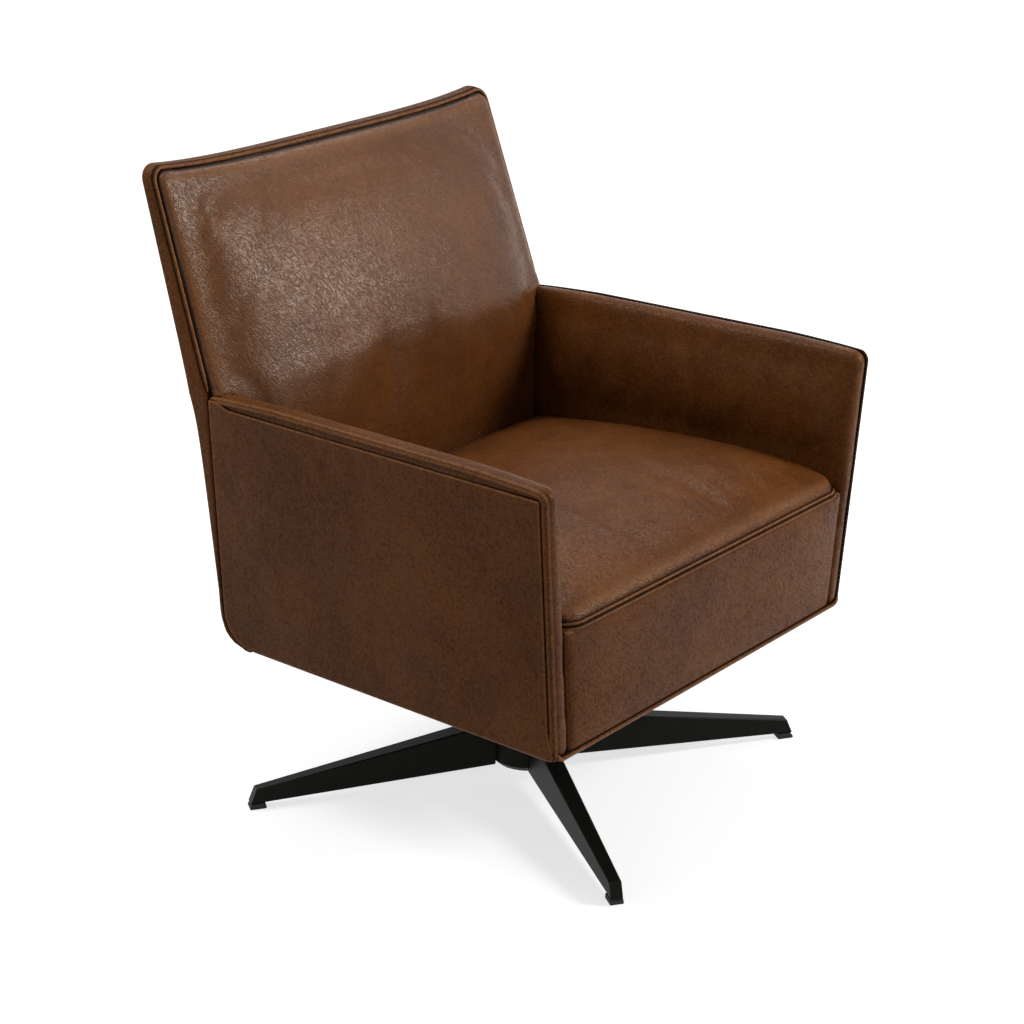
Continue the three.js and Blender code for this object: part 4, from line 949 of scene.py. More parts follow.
class Wiring:
    """Short calls that add a node to a tree and link what it takes."""

    def __init__(self, tree):
        self.tree = tree

    def node(self, kind, links=(), **settings):
        made = self.tree.nodes.new(kind)
        for word, value in settings.items():
            setattr(made, word, value)
        for socket, source in dict(links).items():
            if isinstance(source, bpy.types.NodeSocket):
                self.tree.links.new(source, made.inputs[socket])
            else:
                made.inputs[socket].default_value = source
        return made

    def math(self, operation, first, second=0.0, third=0.0):
        links = {0: first, 1: second, 2: third}
        return self.node("ShaderNodeMath", links, operation=operation).outputs[0]

    def ramp(self, value, low, high, start=0.0, end=1.0):
        made = self.node("ShaderNodeMapRange", {
            "Value": value, "From Min": low, "From Max": high, "To Min": start, "To Max": end,
        }, interpolation_type="SMOOTHSTEP")
        return made.outputs["Result"]

    def bump(self, height, strength, distance, normal=None):
        """The normal of a surface with relief, over another normal where one is given."""
        links = {"Height": height, "Strength": strength, "Distance": distance}
        if normal is not None:
            links["Normal"] = normal
        return self.node("ShaderNodeBump", links).outputs["Normal"]

    def blend(self, share, first, second):
        made = self.node("ShaderNodeMix", {"Factor": share, 6: first, 7: second}, data_type="RGBA")
        return made.outputs[2]

    def noise(self, place, scale, detail=2.0, roughness=0.5):
        return self.node("ShaderNodeTexNoise", {
            "Vector": place, "Scale": scale, "Detail": detail, "Roughness": roughness,
        })

    def shifted(self, place, scale, amount):
        """A place moved about by a slow noise."""
        wander = self.noise(place, scale, 1.0).outputs["Color"]
        middle = self.node("ShaderNodeVectorMath", {0: wander, 1: (0.5, 0.5, 0.5)}, operation="SUBTRACT")
        small = self.node("ShaderNodeVectorMath", {0: middle.outputs[0], "Scale": amount}, operation="SCALE")
        return self.node("ShaderNodeVectorMath", {0: place, 1: small.outputs[0]}, operation="ADD").outputs[0]


# Stitches: a row of short threads along a path, each lying flat on the leather

STITCH_SPACING = 0.0068
STITCH_LENGTH = 0.0046
THREAD_THICKNESS = 0.0009
THREAD_SIDES = 8
THREAD_RINGS = 5
STITCH_ROWS_ON_ARM = ((0.0027, -0.0026), (0.0086, -0.0012))
STITCH_ROWS_ON_BACK = (0.0062, 0.0102)
BACK_STITCHES_FROM = 0.012
BACK_STITCHES_OUT = 0.0001
FACING_STEP = 0.0005


def path_tree(name, sizes):
    """A geometry tree that takes a line of points, named sizes and a material."""
    return node_group("GeometryNodeTree", name, [
        ("Geometry", "NodeSocketGeometry", None),
        *((size, "NodeSocketFloat", None) for size in sizes),
        ("Material", "NodeSocketMaterial", None),
    ], [("Geometry", "NodeSocketGeometry")])


def end_in_mesh(wire, inputs, output, instances):
    """Ends a tree in real geometry with its material."""
    real = wire.node("GeometryNodeRealizeInstances", {"Geometry": instances})
    paint = wire.node("GeometryNodeSetMaterial", {
        "Geometry": real.outputs["Geometry"], "Material": inputs.outputs["Material"],
    })
    wire.tree.links.new(paint.outputs["Geometry"], output.inputs["Geometry"])


def facing_turn(wire):
    """Rotation whose X runs along the path and whose Z is the stored facing."""
    tangent = wire.node("GeometryNodeInputTangent").outputs["Tangent"]
    facing = wire.node("GeometryNodeInputNamedAttribute", {"Name": "facing"}, data_type="FLOAT_VECTOR")
    along = wire.node("FunctionNodeAlignEulerToVector", {"Vector": tangent}, axis="X")
    return wire.node("FunctionNodeAlignEulerToVector", {
        "Rotation": along.outputs["Rotation"], "Vector": facing.outputs["Attribute"],
    }, axis="Z", pivot_axis="X").outputs["Rotation"]


def stitch_tree():
    """Lays short threads, or staples, along a line of points."""
    tree, inputs, output = path_tree("stitch_row", ["Spacing", "Length", "Thickness"])
    wire = Wiring(tree)
    path = wire.node("GeometryNodeMeshToCurve", {"Mesh": inputs.outputs["Geometry"]})
    even = wire.node("GeometryNodeResampleCurve", {
        "Curve": path.outputs["Curve"], "Length": inputs.outputs["Spacing"],
    }, mode="LENGTH")
    thread = wire.node("GeometryNodeMeshUVSphere", {
        "Segments": THREAD_SIDES, "Rings": THREAD_RINGS, "Radius": 0.5,
    })
    thickness = inputs.outputs["Thickness"]
    size = wire.node("ShaderNodeCombineXYZ", {"X": inputs.outputs["Length"], "Y": thickness, "Z": thickness})
    put = wire.node("GeometryNodeInstanceOnPoints", {
        "Points": even.outputs["Curve"], "Instance": thread.outputs["Mesh"],
        "Rotation": facing_turn(wire), "Scale": size.outputs["Vector"],
    })
    end_in_mesh(wire, inputs, output, put.outputs["Instances"])
    return tree


def set_input(modifier, word, value):
    """Sets a tree's input by its socket's identifier."""
    for item in modifier.node_group.interface.items_tree:
        if item.name == word and item.in_out == "INPUT":
            modifier[item.identifier] = value


def path_object(name, path, facing):
    """A bare line of points that holds the way each point faces."""
    mesh = bpy.data.meshes.new(name)
    mesh.from_pydata((path + [0, AXIS_Y, 0]).tolist(), [(i, i + 1) for i in range(len(path) - 1)], [])
    attribute = mesh.attributes.new("facing", "FLOAT_VECTOR", "POINT")
    attribute.data.foreach_set("vector", np.asarray(facing, np.float32).ravel())
    line = bpy.data.objects.new(name, mesh)
    bpy.context.scene.collection.objects.link(line)
    return line


def along_path(name, tree, path, facing, values):
    """Runs a tree along a path and keeps the result as a plain mesh."""
    line = path_object(name, path, facing)
    modifier = line.modifiers.new("row", "NODES")
    modifier.node_group = tree
    for word, value in values.items():
        set_input(modifier, word, value)
    bake_modifiers(line)
    return line


def join(name, parts):
    """Joins finished meshes into one piece."""
    vertices, faces, wear_and_shading, start = [], [], [], 0
    materials = []
    for part in parts:
        points = places(part.data)
        vertices.append(points)
        faces.extend(tuple(v + start for v in f.vertices) for f in part.data.polygons)
        start += len(points)
        materials.extend(m for m in part.data.materials if m not in materials)
        held = part.data.attributes.get("wear_and_shading")
        values = np.zeros(len(points), np.float32)
        if held:
            held.data.foreach_get("value", values)
        wear_and_shading.append(values)
        bpy.data.objects.remove(part)
    mesh = bpy.data.meshes.new(name)
    mesh.from_pydata(np.concatenate(vertices).tolist(), [], faces)
    mesh.polygons.foreach_set("use_smooth", [True] * len(mesh.polygons))
    for material in materials:
        mesh.materials.append(material)
    piece = bpy.data.objects.new(name, mesh)
    bpy.context.scene.collection.objects.link(piece)
    set_wear_and_shading(piece, np.concatenate(wear_and_shading))
    return piece


def surface_path(outline, place):
    """A closed path on a surface and the way it faces, from place(points, extra_depth)."""
    path = place(outline, 0.0)
    facing = place(outline, FACING_STEP) - path
    facing /= np.linalg.norm(facing, axis=1, keepdims=True)
    return path, facing


def closed(path, facing):
    """A path and its facings with the first point once more at the end."""
    return np.vstack([path, path[:1]]), np.vstack([facing, facing[:1]])


def stitch_row(name, path, facing):
    return along_path(name, STITCHES, path, facing, {
        "Spacing": STITCH_SPACING, "Length": STITCH_LENGTH,
        "Thickness": THREAD_THICKNESS, "Material": THREAD,
    })


def arm_stitches(name, side):
    """Two rows on the arm's edge strip: one on its round and one beside the pad."""
    outline = arm_outline(PAD_CORNER_ROUND)
    rows = []
    for row, (depth, out) in enumerate(STITCH_ROWS_ON_ARM):
        def place(points, extra):
            flat = pad_arched(points - inward(points) * (out + extra))
            return arm_to_chair(at_depth(flat, depth), side)
        path, facing = closed(*surface_path(outline, place))
        rows.append(stitch_row(f"{name}_row_{row}", path, facing))
    return join(name, rows)


def back_stitches(name):
    """Two rows round the back's side bands and top, behind its front edge."""
    outline = back_outline()
    order = run_of(outline, outline[:, 1] > ARM_TOP + BACK_STITCHES_FROM)
    out = -inward(outline)[order]
    flat = outline[order] + out * BACK_STITCHES_OUT
    rows = []
    for row, back in enumerate(STITCH_ROWS_ON_BACK):
        path = standing(flat, band_front(flat[:, 1]) + back)
        rows.append(stitch_row(f"{name}_row_{row}", path, standing(out, 0)))
    return join(name, rows)


# Rocking springs

SPRING_ACROSS = 0.045
SPRING_ALONG = 0.064
SPRING_RADIUS = 0.017
SPRING_WIRE = 0.006
SPRING_FOOT = 0.1666
SPRING_HEAD = 0.2277
SPRING_TURNS = 6
CLOSED_PITCH = 0.0067
SPRING_STEPS = 32
WIRE_SIDES = 14


def coil_path(x, y):
    """A spring's wire: one closed turn at each end, and open turns between."""
    turns = np.linspace(0, SPRING_TURNS, SPRING_TURNS * SPRING_STEPS + 1)
    low, high = SPRING_FOOT + SPRING_WIRE / 2, SPRING_HEAD - SPRING_WIRE / 2
    knots = [0, 1, SPRING_TURNS - 1, SPRING_TURNS]
    z = np.interp(turns, knots, [low, low + CLOSED_PITCH, high - CLOSED_PITCH, high])
    angle = 2 * math.pi * turns
    return np.column_stack([x + SPRING_RADIUS * np.cos(angle), y + SPRING_RADIUS * np.sin(angle), z])


def wire_tree():
    """Lays a round wire along a line of points."""
    tree, inputs, output = path_tree("round_wire", ["Wire Radius"])
    wire = Wiring(tree)
    path = wire.node("GeometryNodeMeshToCurve", {"Mesh": inputs.outputs["Geometry"]})
    ring = wire.node("GeometryNodeCurvePrimitiveCircle", {
        "Resolution": WIRE_SIDES, "Radius": inputs.outputs["Wire Radius"],
    })
    solid = wire.node("GeometryNodeCurveToMesh", {
        "Curve": path.outputs["Curve"], "Profile Curve": ring.outputs["Curve"], "Fill Caps": True,
    })
    end_in_mesh(wire, inputs, output, solid.outputs["Mesh"])
    return tree


def rocking_spring(name, x, y):
    """A coil spring of round wire, upright at a place from the turning axis."""
    path = coil_path(x, y)
    facing = np.tile([0.0, 0.0, 1.0], (len(path), 1))
    spring = along_path(name, COILED_WIRE, path, facing, {
        "Wire Radius": SPRING_WIRE / 2, "Material": SPRING_STEEL,
    })
    turn_outwards(spring.data)
    spring.data.polygons.foreach_set("use_smooth", [len(f.vertices) == 4 for f in spring.data.polygons])
    return spring


# Sheets: webbing straps and the dust cover

STRAP_THICKNESS = 0.0014
STRAP_SAG = 0.0035
SEAT_STRAP_POINTS = (60, 15)
BACK_STRAP_POINTS = (60, 13)
DUST_COVER_THICKNESS = 0.0006
DUST_COVER_OPENING = (0.092, 0.116)
DUST_COVER_RIPPLE = 0.0004
EDGE_BAND = 0.002
STAPLE_SPACING = 0.038
STAPLE_LENGTH = 0.010
STAPLE_THICKNESS = 0.0011
STAPLE_INSET = 0.008
STAPLE_DROP = 0.0002


def node_corners(node):
    """The box and the points of a solid, with depths measured from the turning axis."""
    piece = frame["nodes"][node]
    points = np.array([piece.matrix_world @ v.co for v in piece.data.vertices]) - [0, AXIS_Y, 0]
    return points.min(axis=0), points.max(axis=0), points


def sheet_skin(name, grid, keep, thickness):
    """A closed sheet over a grid of points, left open where keep is false."""
    rows, columns = grid.shape[:2]
    along = np.gradient(grid, axis=0)
    normal = np.cross(np.gradient(grid, axis=1), along)
    normal /= np.linalg.norm(normal, axis=2, keepdims=True)
    layers = [grid + normal * thickness / 2, grid - normal * thickness / 2]
    under = rows * columns
    edges, faces = [], []
    for i, j in zip(*np.nonzero(keep)):
        a, b = i * columns + j, i * columns + j + 1
        c, d = b + columns, a + columns
        faces += [(a, b, c, d), (d + under, c + under, b + under, a + under)]
        edges += [(a, b), (b, c), (c, d), (d, a)]
    known = set(edges)
    faces += [(b, a, a + under, b + under) for a, b in edges if (b, a) not in known]
    points = np.concatenate([layer.reshape(-1, 3) for layer in layers])
    kept = np.unique(np.array(faces))
    fresh = {old: new for new, old in enumerate(kept.tolist())}
    return mesh_object(name, points[kept], [tuple(fresh[v] for v in face) for face in faces])


def strap_grid(start, end, low, high, counts):
    """Places along a strap and across it, as two grids."""
    return np.meshgrid(np.linspace(start, end, counts[0]), np.linspace(low, high, counts[1]), indexing="ij")


def strap_skin(name, x, y, z):
    rows, columns = x.shape
    keep = np.ones((rows - 1, columns - 1), bool)
    return sheet_skin(name, np.stack([x, y, z], axis=2), keep, STRAP_THICKNESS)


def sag(place, start, end):
    """How far a strap gives between its ends."""
    return STRAP_SAG * swell(2 * (place - start) / (end - start) - 1, 2)


def seat_strap(name, node):
    """A strap across the seat frame, which gives a little in the middle, and its flat size."""
    low, high, _ = node_corners(node)
    y, x = strap_grid(low[1], high[1], low[0], high[0], SEAT_STRAP_POINTS)
    z = np.full_like(x, (low[2] + high[2]) / 2) - sag(y, low[1], high[1])
    return strap_skin(name, x, y, z), (float(high[0] - low[0]), float(high[1] - low[1]))


def back_strap(name, node):
    """A strap across the back's posts, which gives a little to the rear, and its flat size."""
    low, high, points = node_corners(node)
    x, z = strap_grid(low[0], high[0], low[2], high[2], BACK_STRAP_POINTS)
    upper = points[:, 2] > (low[2] + high[2]) / 2
    foot, head = points[~upper][:, 1].mean(), points[upper][:, 1].mean()
    y = foot + (head - foot) * (z - low[2]) / (high[2] - low[2]) + sag(x, low[0], high[0])
    width = math.hypot(high[2] - low[2], head - foot)
    return strap_skin(name, x, y, z), (float(width), float(high[0] - low[0]))


def dust_cover_edge():
    """The dust cover's box, and half its width in front and at the rear."""
    low, high, points = node_corners("dust_cover")
    across = np.abs(points[:, 0])
    half_front = across[points[:, 1] < low[1] + EDGE_BAND].max()
    half_rear = across[points[:, 1] > high[1] - EDGE_BAND].max()
    return low, high, half_front, half_rear


def dust_sheet(name):
    """The thin cover stretched under the seat frame, cut out round the base's bracket."""
    low, high, half_front, half_rear = dust_cover_edge()
    across, along = DUST_COVER_OPENING
    level = (low[2] + high[2]) / 2
    before, beside = np.linspace(low[1], -along, 16)[:-1], np.linspace(-along, along, 18)[:-1]
    rows = np.concatenate([before, beside, np.linspace(along, high[1], 10)])
    grid = []
    for y in rows:
        half = mix(half_front, half_rear, (y - low[1]) / (high[1] - low[1]))
        outer = mix(across, half, np.linspace(0, 1, 14)[1:])
        x = np.concatenate([-outer[::-1], np.linspace(-across, across, 14), outer])
        grid.append(np.column_stack([x, np.full(len(x), y), np.full(len(x), level)]))
    grid = np.array(grid)
    x, y = grid[..., 0], grid[..., 1]
    grid[..., 2] += DUST_COVER_RIPPLE * (np.sin(x * 61 + 1.3 * np.sin(y * 23)) * np.sin(y * 47))
    mid_x, mid_y = (x[:-1, :-1] + x[1:, 1:]) / 2, (y[:-1, :-1] + y[1:, 1:]) / 2
    keep = (np.abs(mid_x) > across) | (np.abs(mid_y) > along)
    flat = (float(half_front + half_rear), float(high[1] - low[1]))
    sheet = sheet_skin(name, grid, keep, DUST_COVER_THICKNESS)
    return sheet, flat, flat[0] * flat[1] - 4 * across * along


def staples(name):
    """A row of staples round the dust cover's edge."""
    low, high, half_front, half_rear = dust_cover_edge()
    half_front, half_rear = half_front - STAPLE_INSET, half_rear - STAPLE_INSET
    front, rear, z = low[1] + STAPLE_INSET, high[1] - STAPLE_INSET, low[2] + STAPLE_DROP
    corners = [(-half_front, front, z), (half_front, front, z), (half_rear, rear, z), (-half_rear, rear, z)]
    path, facing = closed(np.array(corners), np.tile([0.0, 0.0, -1.0], (4, 1)))
    return along_path(name, STITCHES, path, facing, {
        "Spacing": STAPLE_SPACING, "Length": STAPLE_LENGTH, "Thickness": STAPLE_THICKNESS, "Material": ZINC,
    })


# Looks

GRAIN_TURN = (0.3, 0.65, 0.5)
GRAIN_STRETCH = (1.0, 0.75, 0.42)
WRINKLE_WIDTH = 0.0027
WRINKLE_DRIFT = 0.045
CREASE_HALF_WIDTH = 0.085
PEBBLES_TO_WRINKLE = 2.1
KNOT_SCALE, KNOT_SHIFT = 330.0, 0.0012
PATCH_SIZE = 0.16
LEATHER_DARK = (0.074, 0.0222, 0.0044, 1)
LEATHER_LIGHT = (0.124, 0.0405, 0.0084, 1)
# Darker crease tone of the grain, with painted shade in the creases
LEATHER_CREASE_SHADE = (0.022, 0.0074, 0.0030, 1)
LEATHER_RIDGE = (0.250, 0.0920, 0.0210, 1)
# Lighter colour of rubbed edges and bead crowns, with a painted highlight
LEATHER_RUBBED_SHEEN = (0.29, 0.125, 0.050, 1)
# Near black: painted shade in seams, grooves and at sewn rims
LEATHER_GROOVE_SHADE = (0.0035, 0.0016, 0.0009, 1)
CREASE_SHADE_SHARE, RIDGE_SHARE, GROOVE_SHADE_SHARE = 0.36, 0.22, 0.96
GLOSSY, DULL = 0.25, 0.33
GRAIN_DEPTH = 0.00025
SOFT_DENT_DEPTH = 0.004
PANEL_SHINE, SEAT_SHINE, BACK_SHINE = 0.06, 0.11, 0.28
SHINE_TINT = (1.0, 0.84, 0.70, 1)
WEAVE_TURNS = 2600.0


def new_material(name):
    """A material, its nodes, its wiring and the place on the piece that its patterns read."""
    material = bpy.data.materials.new(name)
    material.use_nodes = True
    wire = Wiring(material.node_tree)
    place = wire.node("ShaderNodeTexCoord").outputs["Object"]
    return material, material.node_tree.nodes["Principled BSDF"], wire, place


def grain_group():
    """Wrinkled leather grain: how high the surface stands, and where its creases are."""
    group, inputs, outputs = node_group("ShaderNodeTree", "wrinkled_grain", [
        ("Place", "NodeSocketVector", None), ("Wrinkle Width", "NodeSocketFloat", WRINKLE_WIDTH),
        ("Drift", "NodeSocketFloat", WRINKLE_DRIFT),
    ], [("Height", "NodeSocketFloat"), ("Crease", "NodeSocketFloat")])
    wire = Wiring(group)
    place = wire.shifted(inputs.outputs["Place"], 6.0, inputs.outputs["Drift"])
    turned = wire.node("ShaderNodeMapping", {"Vector": place, "Rotation": GRAIN_TURN}).outputs["Vector"]
    longer = wire.node("ShaderNodeVectorMath", {0: turned, 1: GRAIN_STRETCH}, operation="MULTIPLY").outputs[0]
    scale = wire.math("DIVIDE", 0.5, inputs.outputs["Wrinkle Width"])
    wrinkle = wire.noise(longer, scale, 1.0, 0.5).outputs["Fac"]
    off_crease = wire.math("ABSOLUTE", wire.math("SUBTRACT", wrinkle, 0.5))
    fold = wire.ramp(off_crease, 0.0, CREASE_HALF_WIDTH)
    cells = wire.node("ShaderNodeTexVoronoi", {
        "Vector": wire.shifted(place, KNOT_SCALE, KNOT_SHIFT),
        "Scale": wire.math("MULTIPLY", scale, PEBBLES_TO_WRINKLE),
    }, feature="DISTANCE_TO_EDGE")
    pebble = wire.ramp(cells.outputs["Distance"], 0.0, 0.28)
    height = wire.math("MULTIPLY_ADD", fold, 0.55, wire.math("MULTIPLY", pebble, 0.45))
    group.links.new(height, outputs.inputs["Height"])
    group.links.new(wire.ramp(height, 0.62, 0.14), outputs.inputs["Crease"])
    return group


def mottle_group():
    """Slow patches of darker and lighter dye, from 0 to 1."""
    group, inputs, outputs = node_group("ShaderNodeTree", "dye_patches", [
        ("Place", "NodeSocketVector", None), ("Patch Size", "NodeSocketFloat", PATCH_SIZE),
    ], [("Tone", "NodeSocketFloat")])
    wire = Wiring(group)
    scale = wire.math("DIVIDE", 1.0, inputs.outputs["Patch Size"])
    place = wire.shifted(inputs.outputs["Place"], 5.0, 0.08)
    large = wire.noise(place, scale, 3.0, 0.55).outputs["Fac"]
    middle = wire.noise(place, wire.math("MULTIPLY", scale, 4.2), 3.0, 0.6).outputs["Fac"]
    fine = wire.noise(place, wire.math("MULTIPLY", scale, 30.0), 2.0, 0.6).outputs["Fac"]
    tone = wire.math("MULTIPLY_ADD", large, 0.58, wire.math("MULTIPLY", middle, 0.30))
    tone = wire.math("MULTIPLY_ADD", fine, 0.12, tone)
    group.links.new(wire.ramp(tone, 0.34, 0.66), outputs.inputs["Tone"])
    return group


def leather(name, shine):
    """Waxed brown leather: mottled dye, wrinkled grain, rubbed edges with a painted highlight, and painted shade
    in its creases and seams.
    """
    material, shader, wire, place = new_material(name)
    links = material.node_tree.links
    grain = wire.node("ShaderNodeGroup", node_tree=GRAIN)
    grain.inputs["Wrinkle Width"].default_value = WRINKLE_WIDTH
    links.new(place, grain.inputs["Place"])
    dye = wire.node("ShaderNodeGroup", node_tree=MOTTLE)
    links.new(place, dye.inputs["Place"])
    height, crease = grain.outputs["Height"], grain.outputs["Crease"]
    wear_and_shading = wire.node("ShaderNodeAttribute", attribute_name="wear_and_shading").outputs["Fac"]
    # Rubbed edges carry a painted highlight; grooves and rims carry painted shade
    rubbed_sheen = wire.ramp(wear_and_shading, 0.05, 1.0)
    groove_shade = wire.ramp(wear_and_shading, -0.05, -0.9)
    color = wire.blend(dye.outputs["Tone"], LEATHER_DARK, LEATHER_LIGHT)
    color = wire.blend(wire.ramp(height, 0.60, 1.0, 0.0, RIDGE_SHARE), color, LEATHER_RIDGE)
    # Painted shade in the grain's creases, over their darker tone
    color = wire.blend(wire.math("MULTIPLY", crease, CREASE_SHADE_SHARE), color, LEATHER_CREASE_SHADE)
    uneven = wire.noise(place, 160.0, 3.0).outputs["Fac"]
    worn_sheen = wire.math("MULTIPLY", rubbed_sheen, wire.ramp(uneven, 0.30, 0.62, 0.35, 0.90))
    color = wire.blend(worn_sheen, color, LEATHER_RUBBED_SHEEN)
    color = wire.blend(wire.math("MULTIPLY", groove_shade, GROOVE_SHADE_SHARE), color, LEATHER_GROOVE_SHADE)
    links.new(color, shader.inputs["Base Color"])
    patches = wire.noise(place, 22.0, 3.0, 0.6).outputs["Fac"]
    gloss = wire.ramp(patches, 0.3, 0.7, GLOSSY, DULL)
    gloss = wire.math("MULTIPLY_ADD", crease, 0.25, gloss)
    gloss = wire.math("MULTIPLY_ADD", groove_shade, 0.4, gloss)
    links.new(gloss, shader.inputs["Roughness"])
    shader.inputs["Specular IOR Level"].default_value = shine
    shader.inputs["Specular Tint"].default_value = SHINE_TINT
    relief = wire.bump(height, 1.0, GRAIN_DEPTH)
    soft = wire.noise(place, 26.0, 2.0).outputs["Fac"]
    links.new(wire.bump(soft, 0.3, SOFT_DENT_DEPTH, relief), shader.inputs["Normal"])
    return material


def plain_finish(name, color, roughness, grain_scale, depth, metallic=0.0, darker=0.75, shine=0.5):
    """A finish with a fine broken grain in its colour, roughness and surface."""
    material, shader, wire, place = new_material(name)
    links = material.node_tree.links
    fine = wire.noise(place, grain_scale, 3.0).outputs["Fac"]
    slow = wire.noise(place, grain_scale / 30, 2.0).outputs["Fac"]
    dark = (*(c * darker for c in color), 1)
    links.new(wire.blend(wire.ramp(slow, 0.35, 0.65), dark, (*color, 1)), shader.inputs["Base Color"])
    smooth, rough = roughness * 0.88, min(1, roughness * 1.12)
    links.new(wire.ramp(fine, 0.3, 0.7, smooth, rough), shader.inputs["Roughness"])
    shader.inputs["Metallic"].default_value = metallic
    shader.inputs["Specular IOR Level"].default_value = shine
    links.new(wire.bump(fine, 0.5, depth), shader.inputs["Normal"])
    return material


def woven(name):
    """Elastic webbing: an even weave of dark and light threads."""
    material, shader, wire, place = new_material(name)
    links = material.node_tree.links
    part = wire.node("ShaderNodeSeparateXYZ", {"Vector": place})
    level = wire.math("ADD", part.outputs["Y"], part.outputs["Z"])
    warp = wire.math("SINE", wire.math("MULTIPLY", part.outputs["X"], WEAVE_TURNS))
    weft = wire.math("SINE", wire.math("MULTIPLY", level, WEAVE_TURNS))
    weave = wire.math("MULTIPLY", warp, weft)
    fibres = wire.noise(place, 1500.0, 2.0).outputs["Fac"]
    color = wire.blend(wire.ramp(weave, -0.6, 0.8), (0.020, 0.020, 0.019, 1), (0.105, 0.100, 0.088, 1))
    color = wire.blend(wire.ramp(fibres, 0.35, 0.75, 0.0, 0.4), color, (0.19, 0.18, 0.155, 1))
    links.new(color, shader.inputs["Base Color"])
    shader.inputs["Roughness"].default_value = 0.9
    links.new(wire.bump(weave, 0.7, 0.0005), shader.inputs["Normal"])
    return material


def sawn_wood(name, color, along):
    """Sawn timber with its grain along one axis, given by the stretch of its pattern."""
    material, shader, wire, place = new_material(name)
    links = material.node_tree.links
    streaks = wire.node("ShaderNodeMapping", {"Vector": place, "Scale": along}).outputs["Vector"]
    grain = wire.noise(streaks, 90.0, 4.0, 0.6).outputs["Fac"]
    dark = (*(c * 0.55 for c in color), 1)
    links.new(wire.blend(wire.ramp(grain, 0.35, 0.65), dark, (*color, 1)), shader.inputs["Base Color"])
    shader.inputs["Roughness"].default_value = 0.75
    links.new(wire.bump(grain, 0.4, 0.0004), shader.inputs["Normal"])
    return material


def dress(piece, material):
    piece.data.materials.clear()
    piece.data.materials.append(material)


# Studio

CAMERA_AZIMUTH = math.radians(-51.61)
CAMERA_ELEVATION = math.radians(20.77)
CAMERA_DISTANCE = 3.529
CAMERA_AIM = Vector((0, AXIS_Y, 0.400))
CAMERA_LENS = 89.90
SENSOR = 36.0
SHIFT = (-0.01536, -0.00228)
WHITE = (1, 1, 1, 1)
AMBIENT = 0.21
LAMPS = [
    ("front_softbox", (1.65, -2.40, 1.95), (0, 0, 0.60), (0.85, 0.85), 74),
    ("overhead_softbox", (-0.8, 1.1, 2.7), (0, 0, 0.45), (1.2, 1.2), 38),
    ("rear_softbox", (1.3, 0.3, 2.6), (0, 0, 0.45), (0.7, 0.7), 12),
    ("side_softbox", (-2.9, 0.15, 1.0), (0, 0, 0.50), (0.6, 0.6), 8),
]
FLOOR_HALF = 9.0
FLOOR_SHADED = (0.50, 0.50, 0.492, 1)
FLOOR_BOUNCE = (0.42, 0.41, 0.40, 1)
GLOW_NEAR, GLOW_FAR = 0.71, 1.0
GLOW_STARTS, GLOW_FULL = 0.35, 1.5


def camera():
    data = bpy.data.cameras.new("camera")
    data.sensor_width = SENSOR
    data.lens = CAMERA_LENS
    data.shift_x, data.shift_y = SHIFT
    data.clip_start, data.clip_end = 0.05, 60
    eye = bpy.data.objects.new("camera", data)
    bpy.context.scene.collection.objects.link(eye)
    level, height = math.cos(CAMERA_ELEVATION), math.sin(CAMERA_ELEVATION)
    away = Vector((math.sin(CAMERA_AZIMUTH) * level, -math.cos(CAMERA_AZIMUTH) * level, height))
    eye.location = CAMERA_AIM + away * CAMERA_DISTANCE
    eye.rotation_euler = (-away).to_track_quat("-Z", "Y").to_euler()
    bpy.context.scene.camera = eye


def area_light(name, place, aim, size, power):
    data = bpy.data.lights.new(name, "AREA")
    data.shape = "RECTANGLE"
    data.size, data.size_y = size
    data.energy = power
    lamp = bpy.data.objects.new(name, data)
    lamp.location = place
    lamp.rotation_euler = (Vector(aim) - Vector(place)).to_track_quat("-Z", "Y").to_euler()
    bpy.context.scene.collection.objects.link(lamp)


def camera_sees(wire):
    """1 where the camera, a mirror or a glass looks, and 0 for light that bounces."""
    ray = wire.node("ShaderNodeLightPath")
    seen = wire.math("MAXIMUM", ray.outputs["Is Camera Ray"], ray.outputs["Is Glossy Ray"])
    return wire.math("MAXIMUM", seen, ray.outputs["Is Transmission Ray"])


def studio():
    """A white background, a little light from all round, four lamps and the floor."""
    scene = bpy.context.scene
    scene.view_settings.view_transform = "Standard"
    world = bpy.data.worlds.new("studio")
    scene.world = world
    world.use_nodes = True
    nodes, links = world.node_tree.nodes, world.node_tree.links
    ambient = nodes["Background"]
    ambient.inputs["Strength"].default_value = AMBIENT
    ambient.inputs["Color"].default_value = WHITE
    wire = Wiring(world.node_tree)
    white = wire.node("ShaderNodeBackground", {"Color": WHITE})
    either = wire.node("ShaderNodeMixShader", {
        "Fac": camera_sees(wire), 1: ambient.outputs["Background"], 2: white.outputs["Background"],
    })
    links.new(either.outputs["Shader"], nodes["World Output"].inputs["Surface"])
    for lamp in LAMPS:
        area_light(*lamp)
    floor()


